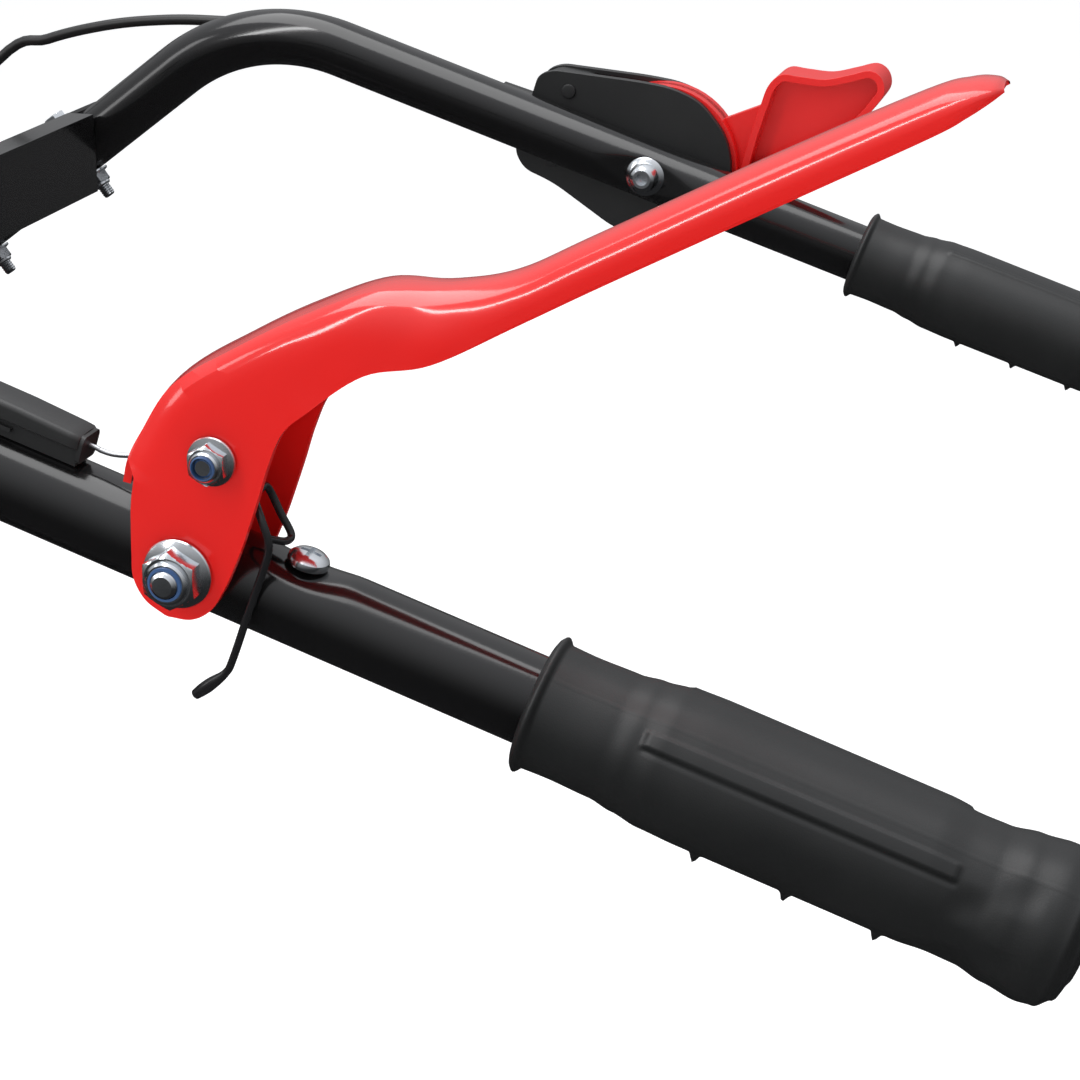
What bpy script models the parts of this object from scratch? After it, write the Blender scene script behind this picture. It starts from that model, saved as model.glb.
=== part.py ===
"""Two stage snowblower, built as separate solids in metres.

+X is the operator's left, -Y is the way the machine drives, +Z is up.
The origin is on the ground, under the middle of the whole machine.
"""
import math

import bmesh
import bpy
from mathutils import Matrix, Vector

# ---------------------------------------------------------------- driving dimensions
GAP = 0.0004                 # clearance between neighbouring solids

# handlebar
PIVOT_Y = 0.5550             # lever pivot, behind the middle of the machine
PIVOT_Z = 0.9300
PIVOT_RISE = 0.0025          # pivot axis above the tube's own axis
HALF_SPACING = 0.2530        # tube axis to the machine's centre plane
TUBE_R = 0.0127
TUBE_WALL = 0.0018
GRIP_SLOPE = math.radians(18)
BEND_ANGLE = math.radians(55)
BEND_R = 0.0900
BEND_U = -0.2010             # where the two straight stretches would cross
TUBE_END_U = 0.2500
LOWER_RUN = 0.2750           # straight stretch below the bend, from the same corner
GRIP_START_U = 0.1010
GRIP_END_U = 0.2580

# control lever on the left tube
EAR_OUT = 0.0176             # outer face of an ear, from the tube's axis
SHEET = 0.0022
BOLT_R = 0.0040
SMALL_BOLT_R = 0.0030

# tractor
FRAME_HALF = 0.1500
FRAME_TOP = 0.3300
FRAME_BOTTOM = 0.1000
FRAME_FRONT = -0.3560
FRAME_BACK = -0.0100
DECK_FRONT = -0.2940
AXLE_Y = -0.1700
WHEEL_R = 0.1650
WHEEL_W = 0.1000
WHEEL_X = 0.2460
AXLE_R = 0.0100

# snow collecting end
AUGER_Y = -0.6600
AUGER_Z = 0.1850
AUGER_R = 0.1400
HOUSING_HALF = 0.3050
HOUSING_FRONT = -0.8037
HOUSING_BACK = -0.5120
HOUSING_TOP = 0.5450
DRUM_R = 0.1460
DRUM_BACK = -0.3600
SHAFT_R = 0.0125
BEARING_GAP = 0.0008         # round a shaft that turns in a fixed bearing
RING_Z = 0.3620
CHUTE_Y = -0.4325
CHUTE_R = 0.0620

# belt drive
PULLEY_Y = -0.3240
ENGINE_Z = 0.4450
IMPELLER_PULLEY_R = 0.0900
ENGINE_PULLEY_R = 0.0380

# crank that turns the chute
CRANK_TOP = Vector((0.1300, 0.2860, 0.9240))    # at the console's rear flange
CRANK_FOOT = Vector((0.0925, CHUTE_Y, 0.3800))  # middle of the worm, beside the chute's gear

DOWN_SLOPE = BEND_ANGLE - GRIP_SLOPE      # lower stretch, below the horizontal, going forward


# ---------------------------------------------------------------- materials
def material(name, colour, roughness, metallic=0.0):
    mat = bpy.data.materials.new(name)
    mat.use_nodes = True
    shader = mat.node_tree.nodes["Principled BSDF"]
    shader.inputs["Base Color"].default_value = (*colour, 1.0)
    shader.inputs["Roughness"].default_value = roughness
    shader.inputs["Metallic"].default_value = metallic
    return mat


def clear_scene():
    for obj in list(bpy.data.objects):
        bpy.data.objects.remove(obj, do_unlink=True)


# ---------------------------------------------------------------- shapes
def box(low, high):
    bm = bmesh.new()
    bmesh.ops.create_cube(bm, size=1.0)
    size = [high[i] - low[i] for i in range(3)]
    middle = [(high[i] + low[i]) / 2 for i in range(3)]
    bmesh.ops.scale(bm, vec=size, verts=bm.verts)
    bmesh.ops.translate(bm, vec=middle, verts=bm.verts)
    return bm


def bevel(bm, width, segments=1, pick=None):
    edges = [e for e in bm.edges if pick is None or pick(e)]
    bmesh.ops.bevel(bm, geom=edges, offset=width, segments=segments, profile=0.5, affect="EDGES")
    return bm


def skin(rings, closed=False, caps=True):
    """Joins rings of points (each a closed loop of the same length) into one body."""
    bm = bmesh.new()
    loops = [[bm.verts.new(p) for p in ring] for ring in rings]
    count = len(loops[0])
    last = len(loops) if closed else len(loops) - 1
    for i in range(last):
        a = loops[i]
        b = loops[(i + 1) % len(loops)]
        for j in range(count):
            k = (j + 1) % count
            bm.faces.new((a[j], a[k], b[k], b[j]))
    if caps and not closed:
        bm.faces.new(list(reversed(loops[0])))
        bm.faces.new(loops[-1])
    bmesh.ops.recalc_face_normals(bm, faces=bm.faces)
    return bm


def frames_along(points):
    """A sideways and an upward direction at every point, without twist."""
    points = [Vector(p) for p in points]
    tangents = []
    for i in range(len(points)):
        before = points[max(i - 1, 0)]
        after = points[min(i + 1, len(points) - 1)]
        tangents.append((after - before).normalized())
    start = Vector((1, 0, 0))
    if abs(tangents[0].dot(start)) > 0.9:
        start = Vector((0, 0, 1))
    side = (start - tangents[0] * start.dot(tangents[0])).normalized()
    out = []
    for point, tangent in zip(points, tangents):
        side = (side - tangent * side.dot(tangent)).normalized()
        out.append((point, side, tangent.cross(side)))
    return out


def circle_points(centre, side, up, radius, count, turn=0.0):
    ring = []
    for k in range(count):
        angle = 2 * math.pi * k / count + turn
        ring.append(centre + side * (radius * math.cos(angle)) + up * (radius * math.sin(angle)))
    return ring


def rod(points, radius, sides=12, turn=0.0):
    """A solid round bar along a path; radius is one number or one per point."""
    frames = frames_along(points)
    radii = radius if isinstance(radius, (list, tuple)) else [radius] * len(frames)
    rings = [circle_points(p, s, u, r, sides, turn) for (p, s, u), r in zip(frames, radii)]
    return skin(rings)


def pipe(points, radius, wall, sides=16):
    """A tube with open ends along a path."""
    frames = frames_along(points)
    outer = [circle_points(p, s, u, radius, sides) for p, s, u in frames]
    inner = [circle_points(p, s, u, radius - wall, sides) for p, s, u in frames]
    return skin(outer + list(reversed(inner)), closed=True)


def turned(profile, centre, axis, sides=20, turn=0.0):
    """Spins a closed profile of (along, radius) points round an axis."""
    axis = Vector(axis).normalized()
    start = Vector((0, 0, 1)) if abs(axis.z) < 0.9 else Vector((1, 0, 0))
    side = start.cross(axis).normalized()
    up = axis.cross(side)
    centre = Vector(centre)
    rings = []
    for k in range(sides):
        angle = 2 * math.pi * k / sides + turn
        out = side * math.cos(angle) + up * math.sin(angle)
        rings.append([centre + axis * along + out * radius for along, radius in profile])
    return skin(rings, closed=True)


def turned_solid(profile, centre, axis, sides=20, turn=0.0):
    """Spins an open profile of (along, radius) points; both ends are flat discs."""
    axis = Vector(axis).normalized()
    start = Vector((0, 0, 1)) if abs(axis.z) < 0.9 else Vector((1, 0, 0))
    side = start.cross(axis).normalized()
    up = axis.cross(side)
    centre = Vector(centre)
    rings = [circle_points(centre + axis * a, side, up, r, sides, turn) for a, r in profile]
    return skin(rings)


def prism_x(outline, low, high):
    """Extrudes a (y, z) outline along X."""
    return skin([[Vector((x, y, z)) for y, z in outline] for x in (low, high)])


def prism_y(outline, low, high):
    """Extrudes an (x, z) outline along Y."""
    return skin([[Vector((x, y, z)) for x, z in outline] for y in (low, high)])


def prism_z(outline, low, high):
    """Extrudes an (x, y) outline along Z."""
    return skin([[Vector((x, y, z)) for x, y in outline] for z in (low, high)])


def arc(centre, radius, start, end, steps):
    """Points on an arc, angles in degrees, both ends included."""
    out = []
    for k in range(steps + 1):
        angle = math.radians(start + (end - start) * k / steps)
        out.append((centre[0] + radius * math.cos(angle), centre[1] + radius * math.sin(angle)))
    return out


def smooth_path(points, per_span):
    """A Catmull-Rom curve through the points."""
    pts = [Vector(p) for p in points]
    pts = [pts[0] * 2 - pts[1]] + pts + [pts[-1] * 2 - pts[-2]]
    out = []
    for i in range(1, len(pts) - 2):
        a, b, c, d = pts[i - 1:i + 3]
        for k in range(per_span):
            t = k / per_span
            out.append(0.5 * (2 * b + (c - a) * t + (2 * a - 5 * b + 4 * c - d) * t ** 2
                              + (3 * b - a - 3 * c + d) * t ** 3))
    out.append(pts[-2])
    return out


# ---------------------------------------------------------------- objects
def raw_object(name, bm):
    mesh = bpy.data.meshes.new(name)
    bmesh.ops.triangulate(bm, faces=[f for f in bm.faces if len(f.verts) > 4])
    bm.to_mesh(mesh)
    bm.free()
    obj = bpy.data.objects.new(name, mesh)
    bpy.context.collection.objects.link(obj)
    return obj


def combine(obj, bm, operation):
    """Applies a Boolean with the solid bm to the object."""
    tool = raw_object("tool", bm)
    modifier = obj.modifiers.new("combine", "BOOLEAN")
    modifier.operation = operation
    modifier.solver = "EXACT"
    modifier.object = tool
    graph = bpy.context.evaluated_depsgraph_get()
    result = bpy.data.meshes.new_from_object(obj.evaluated_get(graph))
    obj.modifiers.remove(modifier)
    old = obj.data
    obj.data = result
    bpy.data.meshes.remove(old)
    tool_mesh = tool.data
    bpy.data.objects.remove(tool, do_unlink=True)
    bpy.data.meshes.remove(tool_mesh)


def solid(name, bm, mat, add=(), cut=(), sharp=35, origin=None):
    """Makes the named sub-part from one shape, adding and cutting the others."""
    obj = raw_object(name, bm)
    for other in add:
        combine(obj, other, "UNION")
    for other in cut:
        combine(obj, other, "DIFFERENCE")
    obj.data.materials.clear()
    obj.data.materials.append(mat)
    obj.data.shade_smooth()
    obj.data.set_sharp_from_angle(angle=math.radians(sharp))
    if origin is not None:
        origin = Vector(origin)
        obj.data.transform(Matrix.Translation(-origin))
        obj.location = origin
    return obj


# ---------------------------------------------------------------- places on the handlebar
def handle(u, n, x):
    """A point u along the straight grip stretch and n above it, from the lever pivot."""
    y = PIVOT_Y + u * math.cos(GRIP_SLOPE) + n * math.sin(GRIP_SLOPE)
    z = PIVOT_Z - u * math.sin(GRIP_SLOPE) + n * math.cos(GRIP_SLOPE)
    return Vector((x, y, z))


BEND_CORNER = handle(BEND_U, 0.0, 0.0)
LOWER_DIR = Vector((0, -math.cos(DOWN_SLOPE), -math.sin(DOWN_SLOPE)))
LOWER_UP = Vector((0, -math.sin(DOWN_SLOPE), math.cos(DOWN_SLOPE)))


def lower(s, n, x):
    """A point s down the stretch below the bend and n above that stretch."""
    return Vector((x, 0, 0)) + BEND_CORNER + LOWER_DIR * s + LOWER_UP * n


def handle_axis(x, from_u, to_s, steps=5):
    """The upper tube's axis, from from_u on the grip stretch to to_s below the bend."""
    reach = BEND_R * math.tan(BEND_ANGLE / 2)
    points = [handle(from_u, 0, x)]
    for k in range(steps + 1):
        angle = BEND_ANGLE * k / steps
        u = BEND_U + reach - BEND_R * math.sin(angle)
        n = -BEND_R * (1 - math.cos(angle))
        points.append(handle(u, n, x))
    points.append(lower(to_s, 0, x))
    return points


PANEL_BOLTS = (0.116, 0.186)     # down the lower stretch


# ---------------------------------------------------------------- handlebar
def upper_handle(side, mat):
    x = side * HALF_SPACING
    pivot = handle(0, PIVOT_RISE if side > 0 else 0.0, x)
    holes = [rod([pivot - Vector((0.03, 0, 0)), pivot + Vector((0.03, 0, 0))], BOLT_R + GAP, 12)]
    for s in PANEL_BOLTS:
        holes.append(rod([lower(s, -0.03, x), lower(s, 0.03, x)], SMALL_BOLT_R + GAP, 10))
    name = "upper_handle_left" if side > 0 else "upper_handle_right"
    tube = pipe(handle_axis(x, TUBE_END_U, LOWER_RUN), TUBE_R, TUBE_WALL, 12)
    return solid(name, tube, mat, cut=holes)


def lower_handle(side, mat):
    x_top = side * (HALF_SPACING - 2 * TUBE_R - GAP)
    x_low = side * (FRAME_HALF + TUBE_R + GAP)
    route = [lower(0.165, 0, x_top), lower(0.270, 0, x_top), lower(0.300, -0.004, x_top * 0.99)]
    route += [Vector((x_low, 0.015, 0.500)), Vector((x_low, -0.020, 0.400)), Vector((x_low, -0.045, 0.270))]
    name = "lower_handle_left" if side > 0 else "lower_handle_right"
    path = [route[0]] + smooth_path(route[1:], 2)
    return solid(name, pipe(path, TUBE_R, TUBE_WALL, 10), mat)


def grip(side, mat):
    x = side * HALF_SPACING
    u0 = GRIP_START_U
    length = GRIP_END_U - u0
    bore = TUBE_R + GAP
    wall_end = TUBE_END_U - u0 + GAP
    profile = [(0.0, 0.0193), (0.0032, 0.0193), (0.0036, 0.0177), (0.024, 0.0180), (0.038, 0.0203),
               (0.111, 0.0203), (0.122, 0.0196), (0.144, 0.0220), (length - 0.005, 0.0195), (length, 0.0110)]
    axis = handle(1, 0, 0) - handle(0, 0, 0)
    outer = turned_solid(profile, handle(u0, 0, x), axis, 14)
    inner = turned_solid([(-0.01, bore), (wall_end, bore)], handle(u0, 0, x), axis, 14)
    return solid("grip_left" if side > 0 else "grip_right", outer, mat, cut=[inner])


def console(mat):
    """Folded sheet across both tubes, with a narrow ledge and a flange facing the operator."""
    lift = TUBE_R + GAP
    half = HALF_SPACING - TUBE_R - GAP
    t = 0.0020
    start = 0.1010
    end = 0.2450
    under_a = lower(start, lift, 0)
    over_a = lower(start, lift + t, 0)
    under_b = lower(end, lift, 0)
    over_b = lower(end, lift + t, 0)
    ledge_y = over_a.y + 0.0130
    ledge_z = over_a.z
    foot_z = ledge_z - 0.0370
    inner = [(over_a.y, over_a.z), (ledge_y, ledge_z), (ledge_y, foot_z), (ledge_y - t, foot_z),
             (ledge_y - t, ledge_z - t), (under_a.y, ledge_z - t), (under_b.y, under_b.z), (over_b.y, over_b.z)]
    lip_y = under_b.y + 0.0030
    lip = prism_x([(lip_y, under_b.z + 0.0035), (lip_y, under_b.z - 0.030), (lip_y - t, under_b.z - 0.030),
                   (lip_y - t, under_b.z + 0.0015)], -half + 0.036, half - 0.036)
    wide = [(under_a.y, under_a.z), (over_a.y, over_a.z), (over_b.y, over_b.z), (under_b.y, under_b.z)]
    plate = prism_x(wide, -HALF_SPACING - 0.017, HALF_SPACING + 0.017)
    holes = []
    for x in (-HALF_SPACING, HALF_SPACING):
        for s in PANEL_BOLTS:
            holes.append(rod([lower(s, 0, x), lower(s, 0.04, x)], SMALL_BOLT_R + GAP, 10))
    reach = (CRANK_TOP - CRANK_FOOT) * 0.3
    holes.append(rod([CRANK_TOP - reach, CRANK_TOP + reach * 0.2], 0.0075, 12))
    slot_low = lower(0.215, 0.0, 0)
    slot_high = lower(0.125, 0.03, 0)
    holes.append(box((-0.006, slot_low.y, slot_low.z), (0.006, slot_high.y, slot_high.z)))
    return solid("console_panel", prism_x(inner, -half, half), mat, add=[plate, lip], cut=holes)


def hex_points(centre, side, up, flat, turn=0.2):
    return circle_points(centre, side, up, flat / math.sqrt(3), 6, turn)


def bolt_with_nut(name, head, tip, radius, flat, grip_len, mat, flange, head_h=0.0055, nut_h=0.0075):
    """Hex flange bolt from head to tip; the clamped stack is grip_len thick."""
    head = Vector(head)
    axis = (Vector(tip) - head).normalized()
    start = Vector((0, 0, 1)) if abs(axis.z) < 0.9 else Vector((1, 0, 0))
    side = start.cross(axis).normalized()
    up = axis.cross(side)
    length = (Vector(tip) - head).length
    shank = skin([circle_points(head + axis * a, side, up, radius, 8)
                  for a in (-0.001, length)])
    head_hex = skin([hex_points(head + axis * a, side, up, flat) for a in (-head_h, -0.0012)])
    head_flange = skin([circle_points(head + axis * a, side, up, r, 10)
                        for a, r in ((-0.0015, flange), (0.0, flange))])
    nut_at = head + axis * grip_len
    nut_flange = skin([circle_points(nut_at + axis * a, side, up, r, 10)
                       for a, r in ((0.0, flange), (0.0015, flange))])
    nut_hex = skin([hex_points(nut_at + axis * a, side, up, flat) for a in (0.0013, nut_h)])
    return solid(name, shank, mat, add=[head_hex, head_flange, nut_flange, nut_hex], sharp=25)


def panel_bolts(mat):
    for side, label in ((1, "left"), (-1, "right")):
        for number, s in enumerate(PANEL_BOLTS):
            x = side * HALF_SPACING
            top = TUBE_R + 0.0020 + 2 * GAP
            stack = top + TUBE_R + GAP
            bolt_with_nut("console_bolt_%s_%d" % (label, number + 1), lower(s, top, x),
                          lower(s, top - stack - 0.013, x), SMALL_BOLT_R, 0.010, stack, mat, 0.0070,
                          0.0045, 0.0060)


# ---------------------------------------------------------------- left control lever
# The lever's crest and its lower edge, from the pivot, as (u, n, half width) in millimetres.
LEVER_CREST = ((-22.0, 32.0, 17.6), (-17.0, 48.5, 17.6), (-4.0, 64.0, 17.6), (10.0, 78.5, 17.2),
               (26.0, 92.0, 16.6), (44.0, 99.5, 15.2), (60.0, 109.0, 13.4), (76.5, 125.5, 12.4),
               (110.0, 159.5, 12.4), (140.0, 188.6, 12.4), (151.0, 196.4, 11.6), (157.2, 198.3, 8.0))
LEVER_EDGE = ((12.0, 30.0), (15.5, 42.0), (17.5, 53.0), (22.0, 62.5),
              (33.0, 73.0), (49.0, 84.5), (66.0, 101.5), (84.0, 120.0),
              (117.0, 154.0), (145.5, 183.0), (154.0, 193.0), (157.8, 197.4))
EAR_OUTLINE = ((15.0, 5.0), (15.6, 20.0), (16.5, 40.0), (15.0, 52.0), (-4.0, 58.0), (-17.0, 44.0),
               (-21.0, 33.0), (-19.0, 24.0), (-17.0, 12.0))


def lever_sections(spans):
    """U shaped sections along the lever, each as outer points then inner points."""
    crest = smooth_path([Vector(p) for p in LEVER_CREST], spans)
    edge = smooth_path([Vector((u, n, 0)) for u, n in LEVER_EDGE], spans)
    sections = []
    for top, foot in zip(crest, edge):
        w = top.z / 1000
        crest_un = Vector((top.x, top.y)) / 1000
        foot_un = Vector((foot.x, foot.y)) / 1000
        down = (foot_un - crest_un)
        depth = down.length
        down = down / depth
        round_r = min(0.0045, depth * 0.45)
        outer = [(-w, depth), (-w, round_r), (-w + round_r * 0.3, round_r * 0.3), (-w + round_r, 0.0),
                 (w - round_r, 0.0), (w - round_r * 0.3, round_r * 0.3), (w, round_r), (w, depth)]
        t = SHEET
        inner = [(w - t, depth), (w - t, round_r + t * 0.4), (w - round_r - t * 0.2, t),
                 (-w + round_r + t * 0.2, t), (-w + t, round_r + t * 0.4), (-w + t, depth)]
        ring = []
        for across, deep in outer + inner:
            at = crest_un + down * deep
            ring.append(handle(at.x, at.y + PIVOT_RISE, HALF_SPACING + across))
        sections.append(ring)
    return sections


def ear(side):
    points = [(u / 1000, n / 1000) for u, n in EAR_OUTLINE]
    points += arc((0.0, 0.0), 0.0150, 195, 360, 8)
    faces = (EAR_OUT - SHEET, EAR_OUT) if side > 0 else (-EAR_OUT, -EAR_OUT + SHEET)
    rings = []
    for x in faces:
        rings.append([handle(u, n + PIVOT_RISE, HALF_SPACING + x) for u, n in points])
    return skin(rings)


def clutch_lever(mat):
    body = skin(lever_sections(1))
    pivot = handle(0, PIVOT_RISE, HALF_SPACING)
    pin = handle(0.0007, 0.0374, HALF_SPACING)
    wide = Vector((0.03, 0, 0))
    holes = [rod([pivot - wide, pivot + wide], BOLT_R + GAP, 14),
             rod([pin - wide, pin + wide], SMALL_BOLT_R + GAP, 10)]
    return solid("clutch_lever", body, mat, add=[ear(1), ear(-1)], cut=holes, origin=pivot)


def clutch_pivot_bolt(mat):
    head = handle(0, PIVOT_RISE, HALF_SPACING - EAR_OUT - GAP)
    tip = head + Vector((2 * EAR_OUT + 2 * GAP + 0.0105, 0, 0))
    bolt_with_nut("clutch_pivot_bolt", head, tip, BOLT_R, 0.0145, 2 * EAR_OUT + 2 * GAP, mat, 0.0099,
                  0.0060, 0.0080)


def cable_pin(mat):
    head = handle(0.0007, 0.0374, HALF_SPACING - EAR_OUT - GAP)
    tip = head + Vector((2 * EAR_OUT + 2 * GAP + 0.0064, 0, 0))
    bolt_with_nut("cable_pin", head, tip, SMALL_BOLT_R, 0.0100, 2 * EAR_OUT + 2 * GAP, mat, 0.0070,
                  0.0040, 0.0052)


SPRING_R = 0.0011
# From the foot under the tube, up its near side, over inside the lever and back down.
SPRING_ROUTE = ((12.7, -32.8, 13.0), (16.2, -27.4, 13.6), (19.4, -22.2, 13.8), (20.3, -17.0, 14.0),
                (20.9, 0.0, 14.1), (21.5, 15.0, 14.1), (20.6, 20.0, 14.1), (16.8, 25.0, 13.4),
                (12.8, 28.0, 10.0), (11.4, 28.6, 2.0), (12.4, 26.8, -1.5), (17.0, 21.5, -2.0),
                (21.8, 17.0, -1.5), (21.6, 15.6, 1.0), (18.0, 15.6, 3.5))


def return_spring(mat):
    points = [handle(u / 1000, n / 1000, HALF_SPACING + x / 1000) for u, n, x in SPRING_ROUTE]
    return solid("return_spring", rod(smooth_path(points, 2), SPRING_R, 6), mat)


def guide_screw(mat):
    base = handle(0.0290, TUBE_R + GAP, HALF_SPACING)
    up = handle(0, 1, 0) - handle(0, 0, 0)
    profile = [(0.0, 0.0058), (0.0018, 0.0055), (0.0034, 0.0036), (0.0038, 0.0015)]
    return solid("guide_screw", turned_solid(profile, base, up, 14), mat)


def cable_guide(mat):
    """Moulded boot that holds the end of the clutch cable on top of the left tube."""
    up = handle(0, 1, 0) - handle(0, 0, 0)
    side = Vector((1, 0, 0))
    rings = []
    low = TUBE_R + GAP
    for u, half, top in ((-0.1050, 0.0050, 0.0215), (-0.1000, 0.0062, 0.0240), (-0.0440, 0.0062, 0.0231),
                         (-0.0400, 0.0056, 0.0224)):
        at = handle(u, 0, HALF_SPACING)
        outline = [(-half, low), (half, low), (half, top - 0.003), (half - 0.003, top),
                   (-half + 0.003, top), (-half, top - 0.003)]
        rings.append([at + side * a + up * b for a, b in outline])
    bore_a = handle(-0.0700, 0.0186, HALF_SPACING)
    bore_b = handle(-0.0300, 0.0186, HALF_SPACING)
    entry = rod([handle(-0.1200, 0.0180, HALF_SPACING), handle(-0.0895, 0.0180, HALF_SPACING)], 0.0031, 8)
    return solid("cable_guide", skin(rings), mat, cut=[rod([bore_a, bore_b], 0.0013, 8), entry])


def clutch_wire(mat):
    points = [handle(-0.0660, 0.0186, HALF_SPACING), handle(-0.0400, 0.0186, HALF_SPACING),
              handle(-0.0300, 0.0207, HALF_SPACING), handle(-0.0200, 0.0262, HALF_SPACING),
              handle(-0.0100, 0.0320, HALF_SPACING)]
    return solid("clutch_wire", rod(points, 0.0007, 6), mat)


# ---------------------------------------------------------------- right control
HOUSING_OUTLINE = ((-66.0, -18.5), (-59.0, -25.0), (-44.0, -26.0), (-8.0, -36.0), (12.0, -33.0))
HOUSING_TOP_LINE = ((24.0, 24.5), (8.0, 34.5), (-4.0, 35.5), (-20.0, 33.0), (-60.0, 23.5), (-66.0, 19.0))
PADDLE_OUTLINE = ((16.0, 31.0), (35.4, 41.5), (35.3, 50.5), (38.5, 58.5), (58.5, 64.4), (70.0, 72.0),
                  (76.0, 75.4), (82.5, 72.8), (85.0, 67.5), (81.0, 55.4), (75.5, 44.5), (57.5, 27.7),
                  (37.3, 8.9), (30.0, -16.0))
HUB_R = 0.0362


def plate_un(points, x_low, x_high):
    rings = []
    for x in (x_low, x_high):
        rings.append([handle(u, n, x) for u, n in points])
    return skin(rings)


def drive_housing(mat):
    outline = [(u / 1000, n / 1000) for u, n in HOUSING_OUTLINE]
    outline += [(0.0310, -0.0150), (0.0330, 0.0100)]
    outline += [(u / 1000, n / 1000) for u, n in HOUSING_TOP_LINE]
    inner_face = -HALF_SPACING - TUBE_R - GAP
    outer_face = inner_face - 0.0190
    inner = plate_un(outline, inner_face - 0.0030, inner_face)
    outer = plate_un(outline, outer_face, outer_face + 0.0030)
    block = [(-0.066, -0.0185), (-0.059, -0.025), (-0.042, -0.0255), (-0.042, 0.027), (-0.060, 0.0235),
             (-0.066, 0.019)]
    spacer = plate_un(block, outer_face + 0.001, inner_face - 0.001)
    pivot = handle(0, 0, -HALF_SPACING)
    hole = rod([pivot, pivot - Vector((0.05, 0, 0))], BOLT_R + GAP, 12)
    mouth_at = handle(-0.0560, 0.0040, inner_face - 0.0095)
    mouth = rod([handle(-0.0800, 0.0040, mouth_at.x), mouth_at], 0.0029, 8)
    return solid("drive_housing", inner, mat, add=[outer, spacer], cut=[hole, mouth])


def drive_lever(mat):
    inner_face = -HALF_SPACING - TUBE_R - GAP
    low = inner_face - 0.0190 + 0.0030 + GAP
    high = inner_face - 0.0030 - GAP
    hub = plate_un(arc((0, 0), HUB_R, 0, 345, 23), low, high)
    paddle = plate_un([(u / 1000, n / 1000) for u, n in PADDLE_OUTLINE], low, high)
    blade = [(0.0385, 0.0535), (0.0585, 0.0644), (0.0700, 0.0720), (0.0760, 0.0754), (0.0825, 0.0728),
             (0.0850, 0.0675), (0.0800, 0.0600), (0.0600, 0.0530), (0.0480, 0.0470)]
    rim = plate_un(blade, low - 0.0045, high + 0.0045)
    pivot = handle(0, 0, -HALF_SPACING)
    hole = rod([pivot, pivot - Vector((0.05, 0, 0))], BOLT_R + GAP, 12)
    return solid("drive_lever", hub, mat, add=[paddle, rim], cut=[hole], origin=pivot)


def drive_lever_bolt(mat):
    head = handle(0, 0, -HALF_SPACING + TUBE_R + GAP)
    stack = 2 * TUBE_R + 0.0190 + 3 * GAP
    bolt_with_nut("drive_lever_bolt", head, head - Vector((stack + 0.011, 0, 0)), BOLT_R, 0.0130, stack,
                  mat, 0.0100, 0.0075, 0.0080)


# ---------------------------------------------------------------- cables held along their routes
def cable_object(name, points, radius, mat, count):
    """A round cable on a curve through hand placed points."""
    path = smooth_path(points, 12)
    lengths = [0.0]
    for a, b in zip(path, path[1:]):
        lengths.append(lengths[-1] + (b - a).length)
    curve = bpy.data.curves.new(name, "CURVE")
    curve.dimensions = "3D"
    spline = curve.splines.new("POLY")
    spline.points.add(count - 1)
    for k in range(count):
        want = lengths[-1] * k / (count - 1)
        i = max(j for j in range(len(path) - 1) if lengths[j] <= want + 1e-9)
        share = (want - lengths[i]) / (lengths[i + 1] - lengths[i])
        at = path[i].lerp(path[i + 1], share)
        spline.points[k].co = (*at, 1.0)
    curve.bevel_depth = radius
    curve.bevel_resolution = 2
    curve.use_fill_caps = True
    obj = bpy.data.objects.new(name, curve)
    curve.materials.append(mat)
    bpy.context.collection.objects.link(obj)
    return obj


def clutch_cable(mat):
    x = HALF_SPACING
    route = [handle(-0.0900, 0.0180, x), handle(-0.1200, 0.0180, x), handle(-0.1600, 0.0190, x),
             lower(0.0300, 0.0240, x), lower(0.0700, 0.0290, x - 0.003),
             lower(0.0950, 0.0360, x - 0.012), lower(0.1400, 0.0420, x - 0.032),
             lower(0.2300, 0.0360, x - 0.060), lower(0.2800, 0.0160, x - 0.073),
             Vector((0.145, 0.050, 0.640)), Vector((0.122, 0.010, 0.500)), Vector((0.112, -0.004, 0.400)),
             Vector((0.105, -0.020, 0.335))]
    return cable_object("clutch_cable", route, 0.0025, mat, 30)


def drive_cable(mat):
    x = -HALF_SPACING - TUBE_R - 0.0099
    route = [handle(-0.0565, 0.0040, x), handle(-0.0800, 0.0040, x), handle(-0.1200, 0.0020, x),
             handle(-0.1800, -0.0040, x), handle(-0.2280, -0.0175, x), handle(-0.2570, -0.0285, x),
             handle(-0.2810, -0.0405, x), handle(-0.3050, -0.0560, x), handle(-0.3280, -0.0760, x),
             Vector((x + 0.015, 0.1500, 0.8800)), Vector((x + 0.055, 0.1000, 0.7800)),
             Vector((-0.170, 0.0600, 0.6500)), Vector((-0.135, 0.0250, 0.5000)),
             Vector((-0.120, 0.0020, 0.4000)), Vector((-0.112, -0.0200, 0.3350))]
    return cable_object("drive_cable", route, 0.0025, mat, 32)


# ---------------------------------------------------------------- shift lever and chute crank
def shift_lever(mat):
    foot = lower(0.170, -0.030, 0)
    top = lower(0.170, 0.150, 0)
    hub = Vector((0.012, 0, 0))
    bar = rod([foot, lower(0.170, 0.115, 0)], 0.0045, 10)
    knob = rod([lower(0.170, 0.112, 0), lower(0.170, 0.118, 0), lower(0.170, 0.140, 0), top],
               [0.009, 0.014, 0.015, 0.008], 12)
    pin = rod([foot - hub, foot + hub], 0.008, 10)
    return solid("shift_lever", bar, mat, add=[knob, pin], origin=foot)


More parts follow.
